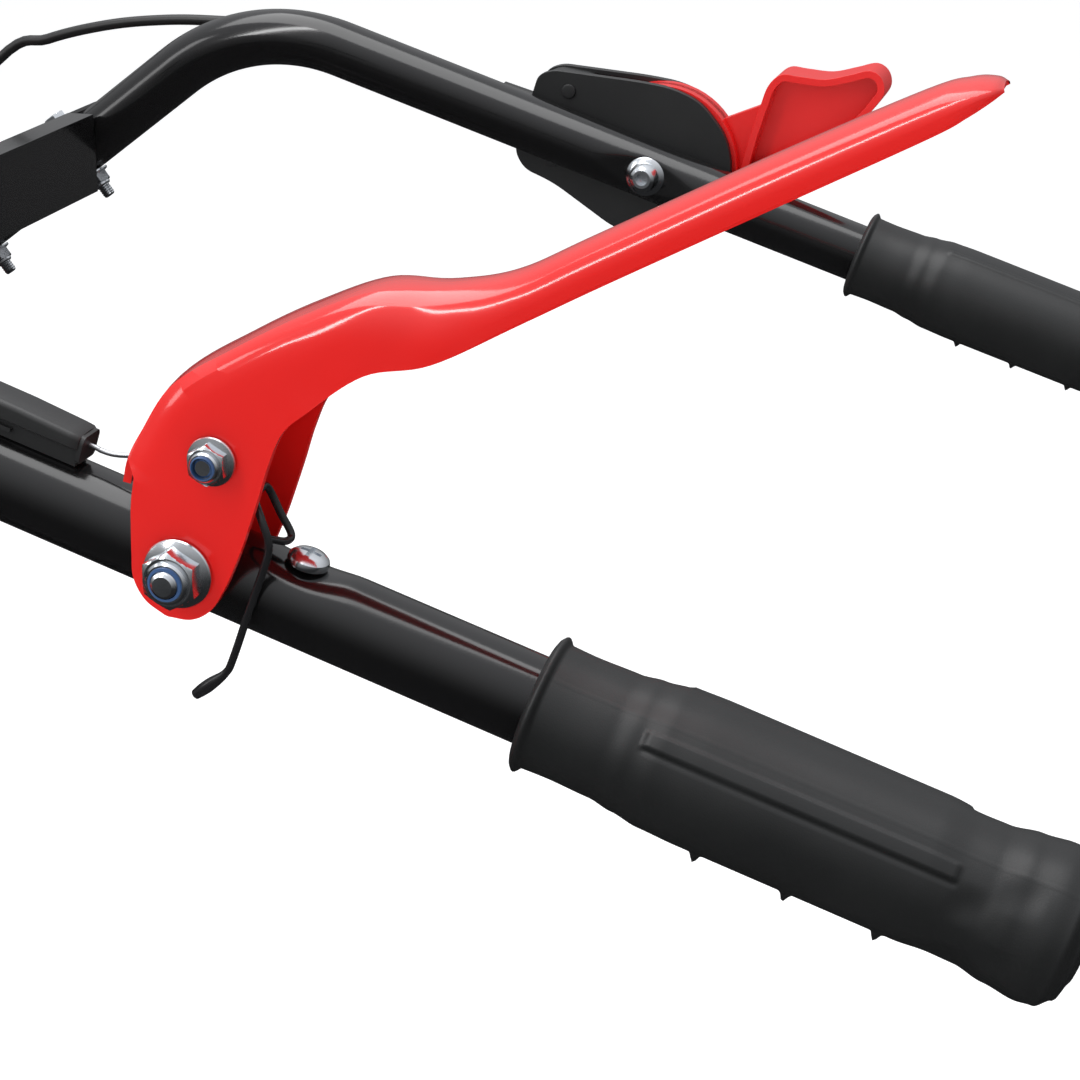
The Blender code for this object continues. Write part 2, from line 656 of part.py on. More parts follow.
def crank(mat):
    along = (CRANK_TOP - CRANK_FOOT).normalized()
    out = (LOWER_UP - along * LOWER_UP.dot(along)).normalized()
    back = CRANK_TOP + along * 0.030
    arm = back + out * 0.080
    tail = arm + along * 0.095
    line = [CRANK_FOOT, back - along * 0.004, back + out * 0.004, arm - out * 0.004, arm + along * 0.004,
            tail]
    bar = rod(line, 0.0050, 10)
    grip_bar = rod([arm + along * 0.015, arm + along * 0.025, tail - along * 0.006, tail + along * 0.004],
                   [0.009, 0.0115, 0.0115, 0.009], 12)
    worm = rod([CRANK_FOOT - along * 0.020, CRANK_FOOT - along * 0.016, CRANK_FOOT + along * 0.016,
                CRANK_FOOT + along * 0.020], [0.012, 0.0165, 0.0165, 0.012], 14)
    return solid("chute_crank", bar, mat, add=[grip_bar, worm], origin=CRANK_TOP)


# ---------------------------------------------------------------- tractor
def frame(mat):
    wall = 0.0030
    shell = box((-FRAME_HALF, FRAME_FRONT, FRAME_BOTTOM), (FRAME_HALF, FRAME_BACK, FRAME_TOP))
    hollow = box((-FRAME_HALF + wall, FRAME_FRONT - 0.05, FRAME_BOTTOM - 0.05),
                 (FRAME_HALF - wall, FRAME_BACK - wall, FRAME_TOP - wall))
    front_top = box((-FRAME_HALF - 0.01, FRAME_FRONT - 0.01, FRAME_TOP - 0.050),
                    (FRAME_HALF + 0.01, DECK_FRONT, FRAME_TOP + 0.01))
    bore = rod([(-0.3, AXLE_Y, WHEEL_R), (0.3, AXLE_Y, WHEEL_R)], AXLE_R + GAP, 14)
    shaft = rod([(-0.3, AXLE_Y + 0.075, 0.215), (0.3, AXLE_Y + 0.075, 0.215)], 0.0084, 12)
    cable_holes = []
    for x, y in ((0.105, -0.020), (-0.112, -0.020)):
        cable_holes.append(rod([(x, y, FRAME_TOP - 0.02), (x, y, FRAME_TOP + 0.02)], 0.0045, 8))
    return solid("frame", shell, mat, cut=[hollow, front_top, bore, shaft] + cable_holes)


def belt_cover(mat):
    wall = 0.0025
    low_z = FRAME_TOP - 0.048
    half = 0.100
    waist = 0.345
    outline = [(-half, low_z), (half, low_z), (half, waist)] + arc((0.0, ENGINE_Z), 0.086, 20, 160, 8)
    outline += [(-half, waist)]
    inner = [(-half + wall, low_z - 0.02), (half - wall, low_z - 0.02), (half - wall, waist)]
    inner += arc((0.0, ENGINE_Z), 0.086 - wall, 20, 160, 8) + [(-half + wall, waist)]
    shell = prism_y(outline, FRAME_FRONT + 0.0005, DECK_FRONT - GAP)
    hollow = prism_y(inner, FRAME_FRONT + 0.0005 + wall, DECK_FRONT + 0.01)
    return solid("belt_cover", shell, mat, cut=[hollow])


def axle(mat):
    return solid("axle", rod([(-0.305, AXLE_Y, WHEEL_R), (0.305, AXLE_Y, WHEEL_R)], AXLE_R, 14), mat,
                 origin=(0, AXLE_Y, WHEEL_R))


def wheel(side, rubber, steel):
    label = "left" if side > 0 else "right"
    centre = (side * WHEEL_X, AXLE_Y, WHEEL_R)
    half = WHEEL_W / 2
    sides = 20
    full = WHEEL_R / math.cos(math.pi / sides)
    bead = 0.0865
    tyre = [(-half + 0.008, bead), (-half, bead + 0.020), (-half + 0.004, full - 0.022), (-half + 0.020, full),
            (half - 0.020, full), (half - 0.004, full - 0.022), (half, bead + 0.020), (half - 0.008, bead)]
    turn = math.pi / sides
    solid("tyre_" + label, turned(tyre, centre, (1, 0, 0), sides, turn), rubber, origin=centre)
    rim_r = bead - 0.0008
    bore = AXLE_R + GAP
    rim = [(-0.040, bore), (-0.040, 0.0220), (-0.010, 0.0220), (-0.008, rim_r - 0.010), (-0.040, rim_r - 0.006),
           (-0.042, rim_r), (0.042, rim_r), (0.040, rim_r - 0.006), (-0.004, rim_r - 0.012), (-0.006, 0.0220),
           (0.040, 0.0220), (0.040, bore)]
    solid("rim_" + label, turned([(a * side, r) for a, r in rim], centre, (1, 0, 0), sides, turn), steel,
          origin=centre)


def friction_drive(steel, rubber):
    y = AXLE_Y + 0.075
    shaft = rod([(-0.160, y, 0.215), (0.160, y, 0.215)], 0.0080, 6)
    disc = turned_solid([(-0.006, 0.050), (0.006, 0.050)], (0.030, y, 0.215), (1, 0, 0), 20)
    gear = turned_solid([(-0.007, 0.022), (0.007, 0.022)], (-0.110, y, 0.215), (1, 0, 0), 14)
    solid("friction_wheel", shaft, rubber, add=[disc, gear], origin=(0, y, 0.215))
    plate_y = y - 0.052
    plate = turned_solid([(-0.006, 0.055), (-0.001, 0.055)], (0, plate_y, 0.215), (0, 1, 0), 20)
    spindle = rod([(0, plate_y - 0.086, 0.215), (0, plate_y - 0.003, 0.215)], 0.0080, 10, 0.1)
    pulley = turned_solid([(-0.080, 0.038), (-0.066, 0.038)], (0, plate_y, 0.215), (0, 1, 0), 16)
    solid("drive_plate", plate, steel, add=[spindle, pulley], origin=(0, plate_y, 0.215))


# ---------------------------------------------------------------- engine
def engine(metal, cover, tank_mat, dark, steel, knob_mat):
    base = FRAME_TOP + GAP
    front = DECK_FRONT + 0.010
    back = front + 0.150
    crankcase = bevel(box((-0.085, front, base), (0.085, back, 0.505)), 0.012)
    parts = [box((0.060, front + 0.015, 0.430), (0.078, back - 0.015, 0.548))]
    for k in range(6):
        z = 0.510 + 0.012 * k
        parts.append(box((-0.050, front + 0.008, z), (0.070, back - 0.008, z + 0.005)))
    parts.append(box((-0.035, front + 0.025, 0.490), (0.050, back - 0.025, 0.588)))
    solid("engine_block", crankcase, metal, add=parts)

    hub_at = (0, back + 0.0020, ENGINE_Z)
    dome = [(0.0, 0.112), (0.035, 0.109), (0.052, 0.092), (0.062, 0.050), (0.062, 0.022)]
    inner = [(0.059, 0.022), (0.059, 0.048), (0.049, 0.088), (0.033, 0.106), (0.0, 0.109)]
    solid("recoil_cover", turned(dome + inner, hub_at, (0, 1, 0), 16), cover)

    grip_at = Vector((0.070, back + 0.078, 0.540))
    pull = Vector((0.0, 0.86, 0.50)).normalized()
    handle_bar = rod([grip_at - Vector((0.032, 0, 0)), grip_at + Vector((0.032, 0, 0))], 0.0085, 10)
    stem = rod([grip_at, grip_at - pull * 0.020], 0.0070, 10)
    solid("recoil_grip", handle_bar, dark, add=[stem], origin=grip_at)

    tank = bevel(box((-0.125, front + 0.010, 0.592), (0.090, back, 0.680)), 0.014, 2)
    filler = Vector((-0.070, (front + back) / 2, 0.0))
    rise = Vector((0, 0, 1))
    collar = rod([filler + rise * 0.672, filler + rise * 0.686], 0.0205, 14)
    solid("fuel_tank", tank, tank_mat, add=[collar])
    cap_at = filler + rise * 0.6865
    cap = turned_solid([(0.0, 0.0230), (0.003, 0.0265), (0.013, 0.0265), (0.017, 0.0225)], cap_at, rise, 16)
    solid("fuel_cap", cap, dark, origin=cap_at)

    muffler = bevel(box((-0.190, front + 0.015, 0.405), (-0.100, back - 0.015, 0.560)), 0.016, 1)
    outlet = rod([(-0.150, front + 0.007, 0.440), (-0.150, front + 0.020, 0.440)], 0.011, 12)
    stub = box((-0.1005, front + 0.055, 0.440), (-0.0855, back - 0.055, 0.480))
    solid("muffler", muffler, steel, add=[outlet, stub])

    cover_box = bevel(box((0.0865, front + 0.015, 0.380), (0.1040, back - 0.015, 0.485)), 0.005, 1)
    solid("carburettor_cover", cover_box, cover)
    choke_at = (0.1044, (front + back) / 2, 0.455)
    choke = turned_solid([(0.0, 0.009), (0.008, 0.009), (0.010, 0.007)], choke_at, (1, 0, 0), 12)
    tab = box((0.1120, choke_at[1] - 0.0025, 0.440), (0.1240, choke_at[1] + 0.0025, 0.470))
    solid("choke_knob", choke, knob_mat, add=[tab], origin=choke_at)


def belt_drive(steel, belt_mat):
    small = turned_solid([(-0.012, ENGINE_PULLEY_R + 0.004), (-0.009, ENGINE_PULLEY_R + 0.004),
                          (-0.004, ENGINE_PULLEY_R - 0.008), (0.004, ENGINE_PULLEY_R - 0.008),
                          (0.009, ENGINE_PULLEY_R + 0.004), (0.012, ENGINE_PULLEY_R + 0.004)],
                         (0, PULLEY_Y, ENGINE_Z), (0, 1, 0), 18)
    stub = rod([(0, PULLEY_Y, ENGINE_Z), (0, DECK_FRONT + 0.0092, ENGINE_Z)], 0.0110, 12)
    solid("engine_pulley", small, steel, add=[stub], origin=(0, PULLEY_Y, ENGINE_Z))
    r = IMPELLER_PULLEY_R
    large = turned([(-0.012, SHAFT_R + GAP), (-0.012, r + 0.004), (-0.009, r + 0.004), (-0.004, r - 0.008),
                    (0.004, r - 0.008), (0.009, r + 0.004), (0.012, r + 0.004), (0.012, SHAFT_R + GAP)],
                   (0, PULLEY_Y, AUGER_Z), (0, 1, 0), 18)
    solid("impeller_pulley", large, steel, origin=(0, PULLEY_Y, AUGER_Z))

    lean = math.asin((r - ENGINE_PULLEY_R) / (ENGINE_Z - AUGER_Z))
    lean_deg = math.degrees(lean)
    seat = -0.0070
    thick = 0.0080
    rings = []
    for y in (-0.0036, 0.0036):
        loop = []
        for extra in (seat, seat + thick):
            side_points = arc((0, AUGER_Z), r + extra, 180 - lean_deg, 360 + lean_deg, 14)
            side_points += arc((0, ENGINE_Z), ENGINE_PULLEY_R + extra, lean_deg, 180 - lean_deg, 8)
            loop.append([Vector((x, PULLEY_Y + y, z)) for x, z in side_points])
        rings.append(loop)
    loops = [rings[0][0], rings[0][1], rings[1][1], rings[1][0]]
    solid("drive_belt", skin(loops, closed=True), belt_mat)


# ---------------------------------------------------------------- snow collecting end
def wrap_outline(offset):
    """The housing's curved sheet in side view, from the scraper to the top lip."""
    r = HOUSING_BACK - AUGER_Y + offset
    line = [(HOUSING_FRONT + 0.045, AUGER_Z - r)]
    line += arc((AUGER_Y, AUGER_Z), r, 270, 360, 6)
    corner = 0.070
    top = HOUSING_TOP - 0.010 + offset
    line += arc((HOUSING_BACK - corner, top - corner), corner + offset, 0, 80, 4)
    line += [(HOUSING_FRONT + 0.020, top + 0.004)]
    return line


def auger_housing(mat):
    t = 0.0025
    inside = wrap_outline(0.0)
    outside = wrap_outline(t)
    half = HOUSING_HALF - 0.0025 - GAP
    sheet = prism_x(inside + list(reversed(outside)), -half, half)
    opening = rod([(0, AUGER_Y - 0.05, AUGER_Z), (0, HOUSING_BACK + 0.05, AUGER_Z)], DRUM_R + GAP, 20)
    return solid("auger_housing", sheet, mat, cut=[opening])


def side_plate(side, mat):
    outline = [(HOUSING_FRONT + 0.035, 0.030), (HOUSING_FRONT + 0.090, 0.0165), (AUGER_Y, 0.0165)]
    outline += arc((AUGER_Y, AUGER_Z), AUGER_Z - 0.0165, 290, 350, 4)
    outline += [(HOUSING_BACK + 0.010, AUGER_Z + 0.02), (HOUSING_BACK + 0.010, HOUSING_TOP - 0.075)]
    outline += arc((HOUSING_BACK - 0.062, HOUSING_TOP - 0.072), 0.072, 10, 85, 3)
    outline += [(HOUSING_FRONT + 0.018, HOUSING_TOP), (HOUSING_FRONT, HOUSING_TOP - 0.030),
                (HOUSING_FRONT, AUGER_Z + 0.080), (HOUSING_FRONT + 0.010, AUGER_Z - 0.030)]
    faces = sorted((side * (HOUSING_HALF - 0.0025), side * HOUSING_HALF))
    hole = rod([(side * 0.29, AUGER_Y, AUGER_Z), (side * 0.33, AUGER_Y, AUGER_Z)], SHAFT_R + BEARING_GAP, 12)
    name = "side_plate_left" if side > 0 else "side_plate_right"
    return solid(name, prism_x(outline, faces[0], faces[1]), mat, cut=[hole])


def impeller_drum(mat):
    t = 0.0025
    inner_r = DRUM_R - t
    front = AUGER_Y + 0.010
    drum = rod([(0, front, AUGER_Z), (0, DRUM_BACK, AUGER_Z)], DRUM_R, 20)
    # the part in front of the housing's back is trimmed to the housing's curve
    trim = prism_x([(HOUSING_FRONT, -0.05)] + wrap_outline(-0.0012)[1:] + [(HOUSING_FRONT, 0.6)], -0.31, 0.31)
    neck = rod([(0, CHUTE_Y, AUGER_Z + 0.10), (0, CHUTE_Y, RING_Z - GAP)], CHUTE_R, 20)
    throat = rod([(0, CHUTE_Y, AUGER_Z + 0.08), (0, CHUTE_Y, RING_Z + 0.02)], CHUTE_R - t, 20)
    clear = rod([(0, HOUSING_FRONT, AUGER_Z), (0, DRUM_BACK - t, AUGER_Z)], inner_r, 20)
    bore = rod([(0, DRUM_BACK - 0.05, AUGER_Z), (0, DRUM_BACK + 0.05, AUGER_Z)], SHAFT_R + BEARING_GAP, 12)
    return solid("impeller_drum", drum, mat, add=[neck], cut=[clear, throat, bore, trim])


def auger_gearbox(mat):
    body = turned_solid([(-0.045, 0.022), (-0.036, 0.036), (-0.010, 0.046), (0.012, 0.046), (0.034, 0.030),
                         (0.055, 0.024)], (0, AUGER_Y, AUGER_Z), (0, 1, 0), 12)
    sleeve = rod([(-0.050, AUGER_Y, AUGER_Z), (0.050, AUGER_Y, AUGER_Z)], 0.026, 14)
    bore = rod([(-0.06, AUGER_Y, AUGER_Z), (0.06, AUGER_Y, AUGER_Z)], SHAFT_R + BEARING_GAP, 12)
    tail = rod([(0, AUGER_Y + 0.025, AUGER_Z), (0, AUGER_Y + 0.07, AUGER_Z)], SHAFT_R + BEARING_GAP, 12)
    return solid("auger_gearbox", body, mat, add=[sleeve], cut=[bore, tail])


def auger_shaft(mat):
    centre = (0, AUGER_Y, AUGER_Z)
    return solid("auger_shaft", rod([(-0.318, AUGER_Y, AUGER_Z), (0.318, AUGER_Y, AUGER_Z)], SHAFT_R, 12), mat,
                 origin=centre)


def ribbon(x0, x1, turns, start, hand):
    """A helical strip round the auger shaft."""
    steps = 9
    rings = []
    for k in range(steps + 1):
        share = k / steps
        angle = start + hand * 2 * math.pi * turns * share
        out = Vector((0, math.cos(angle), math.sin(angle)))
        x = x0 + (x1 - x0) * share
        centre = Vector((x, AUGER_Y, AUGER_Z))
        half = 0.0020
        rings.append([centre + out * (AUGER_R - 0.036) + Vector((-half, 0, 0)),
                      centre + out * AUGER_R + Vector((-half, 0, 0)),
                      centre + out * AUGER_R + Vector((half, 0, 0)),
                      centre + out * (AUGER_R - 0.036) + Vector((half, 0, 0))])
    return skin(rings)


def auger(side, mat):
    label = "left" if side > 0 else "right"
    x0 = side * 0.0520
    x1 = side * 0.2960
    tube = pipe([(x0, AUGER_Y, AUGER_Z), (x1, AUGER_Y, AUGER_Z)], 0.0200, 0.0200 - SHAFT_R - GAP, 12)
    add = []
    for start in (0.0, math.pi):
        add.append(ribbon(x0 + side * 0.006, x1 - side * 0.006, 0.75, start + 0.4, side))
    for share in (0.06, 0.5, 0.94):
        angle = 0.4 + side * 2 * math.pi * 0.75 * share
        x = x0 + side * 0.006 + (x1 - x0 - side * 0.012) * share
        out = Vector((0, math.cos(angle), math.sin(angle)))
        centre = Vector((x, AUGER_Y, AUGER_Z))
        along = Vector((0.0050, 0, 0))
        across = out.cross(Vector((1, 0, 0))) * 0.013
        reach = AUGER_R - 0.022
        for way in (1, -1):
            ends = []
            for distance in (0.017, reach):
                at = centre + out * (distance * way)
                ends.append([at - along - across, at + along - across, at + along + across,
                             at - along + across])
            add.append(skin(ends))
    bore = rod([(x0 - side * 0.01, AUGER_Y, AUGER_Z), (x1 + side * 0.01, AUGER_Y, AUGER_Z)],
               SHAFT_R + GAP, 12)
    return solid("auger_" + label, tube, mat, add=add, cut=[bore], origin=(x0, AUGER_Y, AUGER_Z))


def impeller(mat):
    y0 = HOUSING_BACK - 0.010
    y1 = DRUM_BACK - 0.010
    hub = rod([(0, y0, AUGER_Z), (0, y1, AUGER_Z)], 0.028, 14)
    shaft = rod([(0, AUGER_Y + 0.030, AUGER_Z), (0, PULLEY_Y + 0.018, AUGER_Z)], SHAFT_R, 12)
    blades = []
    for k in range(4):
        angle = math.pi / 4 + k * math.pi / 2
        out = Vector((math.cos(angle), 0, math.sin(angle)))
        across = Vector((-math.sin(angle), 0, math.cos(angle)))
        centre = Vector((0, 0, AUGER_Z))
        outline = [(0.022, -0.0018), (0.120, -0.0018), (0.134, -0.0140), (0.136, -0.0112), (0.122, 0.0018),
                   (0.022, 0.0018)]
        rings = []
        for y in (y0 + 0.004, y1 - 0.004):
            rings.append([centre + out * a + across * b + Vector((0, y, 0)) for a, b in outline])
        blades.append(skin(rings))
    return solid("impeller", hub, mat, add=blades + [shaft], origin=(0, y0, AUGER_Z))


def scraper_bar(mat):
    half = HOUSING_HALF - 0.004
    low = AUGER_Z - (HOUSING_BACK - AUGER_Y)
    outline = [(HOUSING_FRONT + 0.034, low - 0.0100), (HOUSING_FRONT + 0.090, low - 0.0030 - GAP),
               (HOUSING_FRONT + 0.090, low - 0.0070), (HOUSING_FRONT + 0.036, low - 0.0150)]
    return solid("scraper_bar", prism_x(outline, -half, half), mat)


def skid(side, mat):
    x0 = side * (HOUSING_HALF + GAP)
    x1 = side * (HOUSING_HALF + 0.0045)
    faces = sorted((x0, x1))
    outline = [(-0.735, 0.010), (-0.720, 0.0), (-0.590, 0.0), (-0.575, 0.010), (-0.575, 0.070),
               (-0.600, 0.078), (-0.710, 0.078), (-0.735, 0.070)]
    plate = prism_x(outline, faces[0], faces[1])
    foot_faces = sorted((side * (HOUSING_HALF - 0.020), x1))
    foot = prism_x([(-0.735, 0.0105), (-0.720, 0.0), (-0.590, 0.0), (-0.575, 0.0105), (-0.578, 0.0130),
                    (-0.592, 0.0040), (-0.718, 0.0040), (-0.732, 0.0130)], foot_faces[0], foot_faces[1])
    name = "skid_left" if side > 0 else "skid_right"
    return solid(name, plate, mat, add=[foot])


# ---------------------------------------------------------------- discharge chute
def chute_ring(mat):
    teeth = 12
    outline = []
    for k in range(teeth):
        for share, radius in ((0.0, 0.0690), (0.25, 0.0745), (0.5, 0.0745), (0.75, 0.0690)):
            angle = 2 * math.pi * (k + share) / teeth
            outline.append((radius * math.cos(angle), CHUTE_Y + radius * math.sin(angle)))
    bore = rod([(0, CHUTE_Y, 0.34), (0, CHUTE_Y, 0.40)], CHUTE_R - 0.0020, 22)
    return solid("chute_ring", prism_z(outline, RING_Z, RING_Z + 0.008), mat, cut=[bore],
                 origin=(0, CHUTE_Y, RING_Z))


def chute(mat):
    t = 0.0022
    base = RING_Z + 0.008 + GAP
    top = 0.7800
    tube = turned([(base, CHUTE_R - t), (base, CHUTE_R), (top, CHUTE_R), (top, CHUTE_R - t)],
                  (0, CHUTE_Y, 0), (0, 0, 1), 20)
    mouth = prism_x([(CHUTE_Y - 0.10, base + 0.050), (CHUTE_Y - 0.10, top + 0.02), (CHUTE_Y - 0.030, top + 0.02),
                     (CHUTE_Y - 0.046, base + 0.090)], -0.1, 0.1)
    pivot = (0, CHUTE_Y - 0.005, top - 0.018)
    hole = rod([(-0.1, pivot[1], pivot[2]), (0.1, pivot[1], pivot[2])], 0.0034, 10)
    return solid("chute", tube, mat, cut=[mouth, hole], origin=(0, CHUTE_Y, base))


DEFLECTOR_PIVOT = Vector((0, CHUTE_Y - 0.005, 0.7620))


def deflector(mat):
    """Hood over the chute's top, hinged at its cheeks."""
    t = 0.0022
    p = DEFLECTOR_PIVOT
    outer_half = CHUTE_R + GAP + t
    inner_half = CHUTE_R + GAP
    back = CHUTE_R + 0.0060
    line = [(CHUTE_Y + back, p.z - 0.022), (CHUTE_Y + back, p.z + 0.055), (CHUTE_Y + 0.045, p.z + 0.120),
            (CHUTE_Y - 0.040, p.z + 0.165), (CHUTE_Y - 0.140, p.z + 0.175)]
    inside = [(CHUTE_Y + back - t, p.z - 0.030), (CHUTE_Y + back - t, p.z + 0.054),
              (CHUTE_Y + 0.0435, p.z + 0.1180), (CHUTE_Y - 0.0405, p.z + 0.1625), (CHUTE_Y - 0.150, p.z + 0.1725)]
    low = [(CHUTE_Y - 0.140, p.z + 0.100), (CHUTE_Y - 0.055, p.z - 0.022)]
    low_out = [(CHUTE_Y - 0.160, p.z + 0.100), (CHUTE_Y - 0.070, p.z - 0.030)]
    shell = prism_x(line + low, -outer_half, outer_half)
    hollow = prism_x(inside + low_out, -inner_half, inner_half)
    hole = rod([(-0.1, p.y, p.z), (0.1, p.y, p.z)], 0.0034, 10)
    return solid("deflector", shell, mat, cut=[hollow, hole], origin=p)


# ---------------------------------------------------------------- the whole machine
def build():
    clear_scene()
    black = material("black_powder_coat", (0.012, 0.012, 0.013), 0.22)
    red = material("red_lacquer", (0.78, 0.020, 0.016), 0.18)
    red_plastic = material("red_plastic", (0.76, 0.025, 0.022), 0.35)
    housing_red = material("red_housing_paint", (0.70, 0.022, 0.018), 0.30)
    rubber = material("grip_rubber", (0.030, 0.032, 0.033), 0.55)
    plastic = material("black_plastic", (0.022, 0.022, 0.024), 0.45)
    zinc = material("zinc_plate", (0.72, 0.76, 0.82), 0.22, 1.0)
    wire = material("black_wire", (0.015, 0.015, 0.016), 0.30)
    steel = material("bare_steel", (0.55, 0.56, 0.58), 0.35, 1.0)
    cast = material("cast_aluminium", (0.40, 0.41, 0.43), 0.45, 1.0)
    tyre = material("tyre_rubber", (0.020, 0.020, 0.021), 0.80)
    belt = material("belt_rubber", (0.025, 0.024, 0.024), 0.75)

    for side in (1, -1):
        upper_handle(side, black)
        lower_handle(side, black)
        grip(side, rubber)
        wheel(side, tyre, housing_red)
        side_plate(side, housing_red)
        auger(side, housing_red)
        skid(side, black)
    console(black)
    panel_bolts(zinc)

    clutch_lever(red)
    clutch_pivot_bolt(zinc)
    cable_pin(zinc)
    return_spring(wire)
    guide_screw(zinc)
    cable_guide(plastic)
    clutch_wire(steel)
    clutch_cable(plastic)

    drive_housing(plastic)
    drive_lever(red_plastic)
    drive_lever_bolt(zinc)
    drive_cable(plastic)

    shift_lever(black)
    crank(black)

    frame(black)
    belt_cover(plastic)
    axle(steel)
    friction_drive(steel, rubber)
    engine(cast, plastic, plastic, plastic, steel, red_plastic)
    belt_drive(steel, belt)

    auger_housing(housing_red)
    impeller_drum(housing_red)
    auger_gearbox(cast)
    auger_shaft(steel)
    impeller(housing_red)
    scraper_bar(steel)

    chute_ring(plastic)
    chute(housing_red)
    deflector(housing_red)


build()
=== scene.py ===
"""Detailed look of a walk behind snow blower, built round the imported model, with its camera and studio."""
import math

import bmesh
import bpy
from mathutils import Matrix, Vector, noise


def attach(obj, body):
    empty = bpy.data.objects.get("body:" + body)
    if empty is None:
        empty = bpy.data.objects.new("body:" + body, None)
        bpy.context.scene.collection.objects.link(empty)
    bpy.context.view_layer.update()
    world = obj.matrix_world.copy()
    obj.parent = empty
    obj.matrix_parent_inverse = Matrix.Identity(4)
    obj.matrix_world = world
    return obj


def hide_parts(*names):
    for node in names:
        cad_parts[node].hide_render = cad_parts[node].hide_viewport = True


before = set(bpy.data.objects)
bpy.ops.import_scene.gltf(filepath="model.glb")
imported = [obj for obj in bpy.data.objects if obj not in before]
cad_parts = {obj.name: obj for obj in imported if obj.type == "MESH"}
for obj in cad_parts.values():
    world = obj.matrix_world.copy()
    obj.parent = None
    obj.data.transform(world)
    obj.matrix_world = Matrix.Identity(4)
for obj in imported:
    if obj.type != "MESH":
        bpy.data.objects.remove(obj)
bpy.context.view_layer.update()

# ---------------------------------------------------------------- the CAD's driving dimensions
PIVOT_Y = 0.5550
PIVOT_Z = 0.9300
PIVOT_RISE = 0.0025
HALF = 0.2530                # tube axis to the centre plane
TUBE_R = 0.0127
FOOT_X = 0.1631              # the lower tubes' feet, from the centre plane
SLOPE = math.radians(18)
BEND = math.radians(55)
BEND_R = 0.0900
BEND_U = -0.2010
DOWN = BEND - SLOPE
BLADE_Y = -0.6600            # auger axis
BLADE_Z = 0.1850
AXLE_Y = -0.1700
WHEEL_R = 0.1650
WHEEL_X = 0.2460
CHUTE_Y = -0.4325
CHUTE_R = 0.0620
RING_Z = 0.3620
PULLEY_Y = -0.3240
ENGINE_Z = 0.4450
FRAME_TOP = 0.3300
ENGINE_FRONT = -0.2840
ENGINE_BACK = -0.1340
HOUSING_HALF = 0.3050
HOUSING_FRONT = -0.8037
HOUSING_BACK = -0.5120
HOUSING_TOP = 0.5450
DRUM_R = 0.1460
DRUM_BACK = -0.3600
CRANK_TOP = Vector((0.1300, 0.2860, 0.9240))
CRANK_FOOT = Vector((0.0925, CHUTE_Y, 0.3800))
DEFLECTOR_PIVOT = Vector((0, CHUTE_Y - 0.005, 0.7620))
RIGHT = Vector((1, 0, 0))
REAR = Vector((0, 1, 0))
FRONT = Vector((0, -1, 0))
UP = Vector((0, 0, 1))
SIDES = ((1, "left"), (-1, "right"))


def handle(u, n, x):
    """u along the grip stretch and n above it, from the lever pivot, metres."""
    return Vector((x, PIVOT_Y + u * math.cos(SLOPE) + n * math.sin(SLOPE),
                   PIVOT_Z - u * math.sin(SLOPE) + n * math.cos(SLOPE)))


def hmm(u, n, x):
    return handle(u / 1000, n / 1000, x / 1000)


BEND_CORNER = handle(BEND_U, 0.0, 0.0)
LOWER_DIR = Vector((0, -math.cos(DOWN), -math.sin(DOWN)))
LOWER_UP = Vector((0, -math.sin(DOWN), math.cos(DOWN)))
U_DIR = handle(1, 0, 0) - handle(0, 0, 0)
N_DIR = handle(0, 1, 0) - handle(0, 0, 0)


def lower(s, n, x):
    """s down the stretch below the bend and n above it."""
    return Vector((x, 0, 0)) + BEND_CORNER + LOWER_DIR * s + LOWER_UP * n


# ---------------------------------------------------------------- materials
MATERIALS = {}


def surface(name, colour, rough, metal=0.0, spread=0.05, grain=1400.0, depth=0.000012, tint=0.06,
            cloud=18.0, coat=0.0, speckle=0.0):
    """A painted, moulded or plated finish: cloudy colour and gloss over a fine relief."""
    mat = bpy.data.materials.new(name)
    mat.use_nodes = True
    tree = mat.node_tree
    shader = tree.nodes["Principled BSDF"]
    shader.inputs["Metallic"].default_value = metal
    if coat:
        shader.inputs["Coat Weight"].default_value = coat
        shader.inputs["Coat Roughness"].default_value = 0.06
    coords = tree.nodes.new("ShaderNodeTexCoord")

    def noise_node(scale, detail):
        tex = tree.nodes.new("ShaderNodeTexNoise")
        tex.inputs["Scale"].default_value = scale
        tex.inputs["Detail"].default_value = detail
        tree.links.new(coords.outputs["Object"], tex.inputs["Vector"])
        return tex.outputs["Fac"]

    def spread_to(value, low, high, start=0.3, end=0.7):
        remap = tree.nodes.new("ShaderNodeMapRange")
        remap.inputs["From Min"].default_value = start
        remap.inputs["From Max"].default_value = end
        remap.inputs["To Min"].default_value = low
        remap.inputs["To Max"].default_value = high
        tree.links.new(value, remap.inputs["Value"])
        return remap.outputs["Result"]

    clouds = noise_node(cloud, 4.0)
    fine = noise_node(grain, 3.0)
    tree.links.new(spread_to(clouds, max(rough - spread, 0.03), rough + spread), shader.inputs["Roughness"])
    mix = tree.nodes.new("ShaderNodeMix")
    mix.data_type = "RGBA"
    mix.inputs["A"].default_value = (*[c * (1 - tint) for c in colour], 1)
    mix.inputs["B"].default_value = (*[min(c * (1 + tint), 1) for c in colour], 1)
    factor = clouds
    if speckle:
        factor = spread_to(noise_node(speckle, 2.0), 0.0, 1.0, 0.35, 0.65)
    tree.links.new(factor, mix.inputs["Factor"])
    tree.links.new(mix.outputs["Result"], shader.inputs["Base Color"])
    bump = tree.nodes.new("ShaderNodeBump")
    bump.inputs["Strength"].default_value = 1.0
    bump.inputs["Distance"].default_value = depth
    tree.links.new(fine, bump.inputs["Height"])
    tree.links.new(bump.outputs["Normal"], shader.inputs["Normal"])
    MATERIALS[name] = mat
    return mat


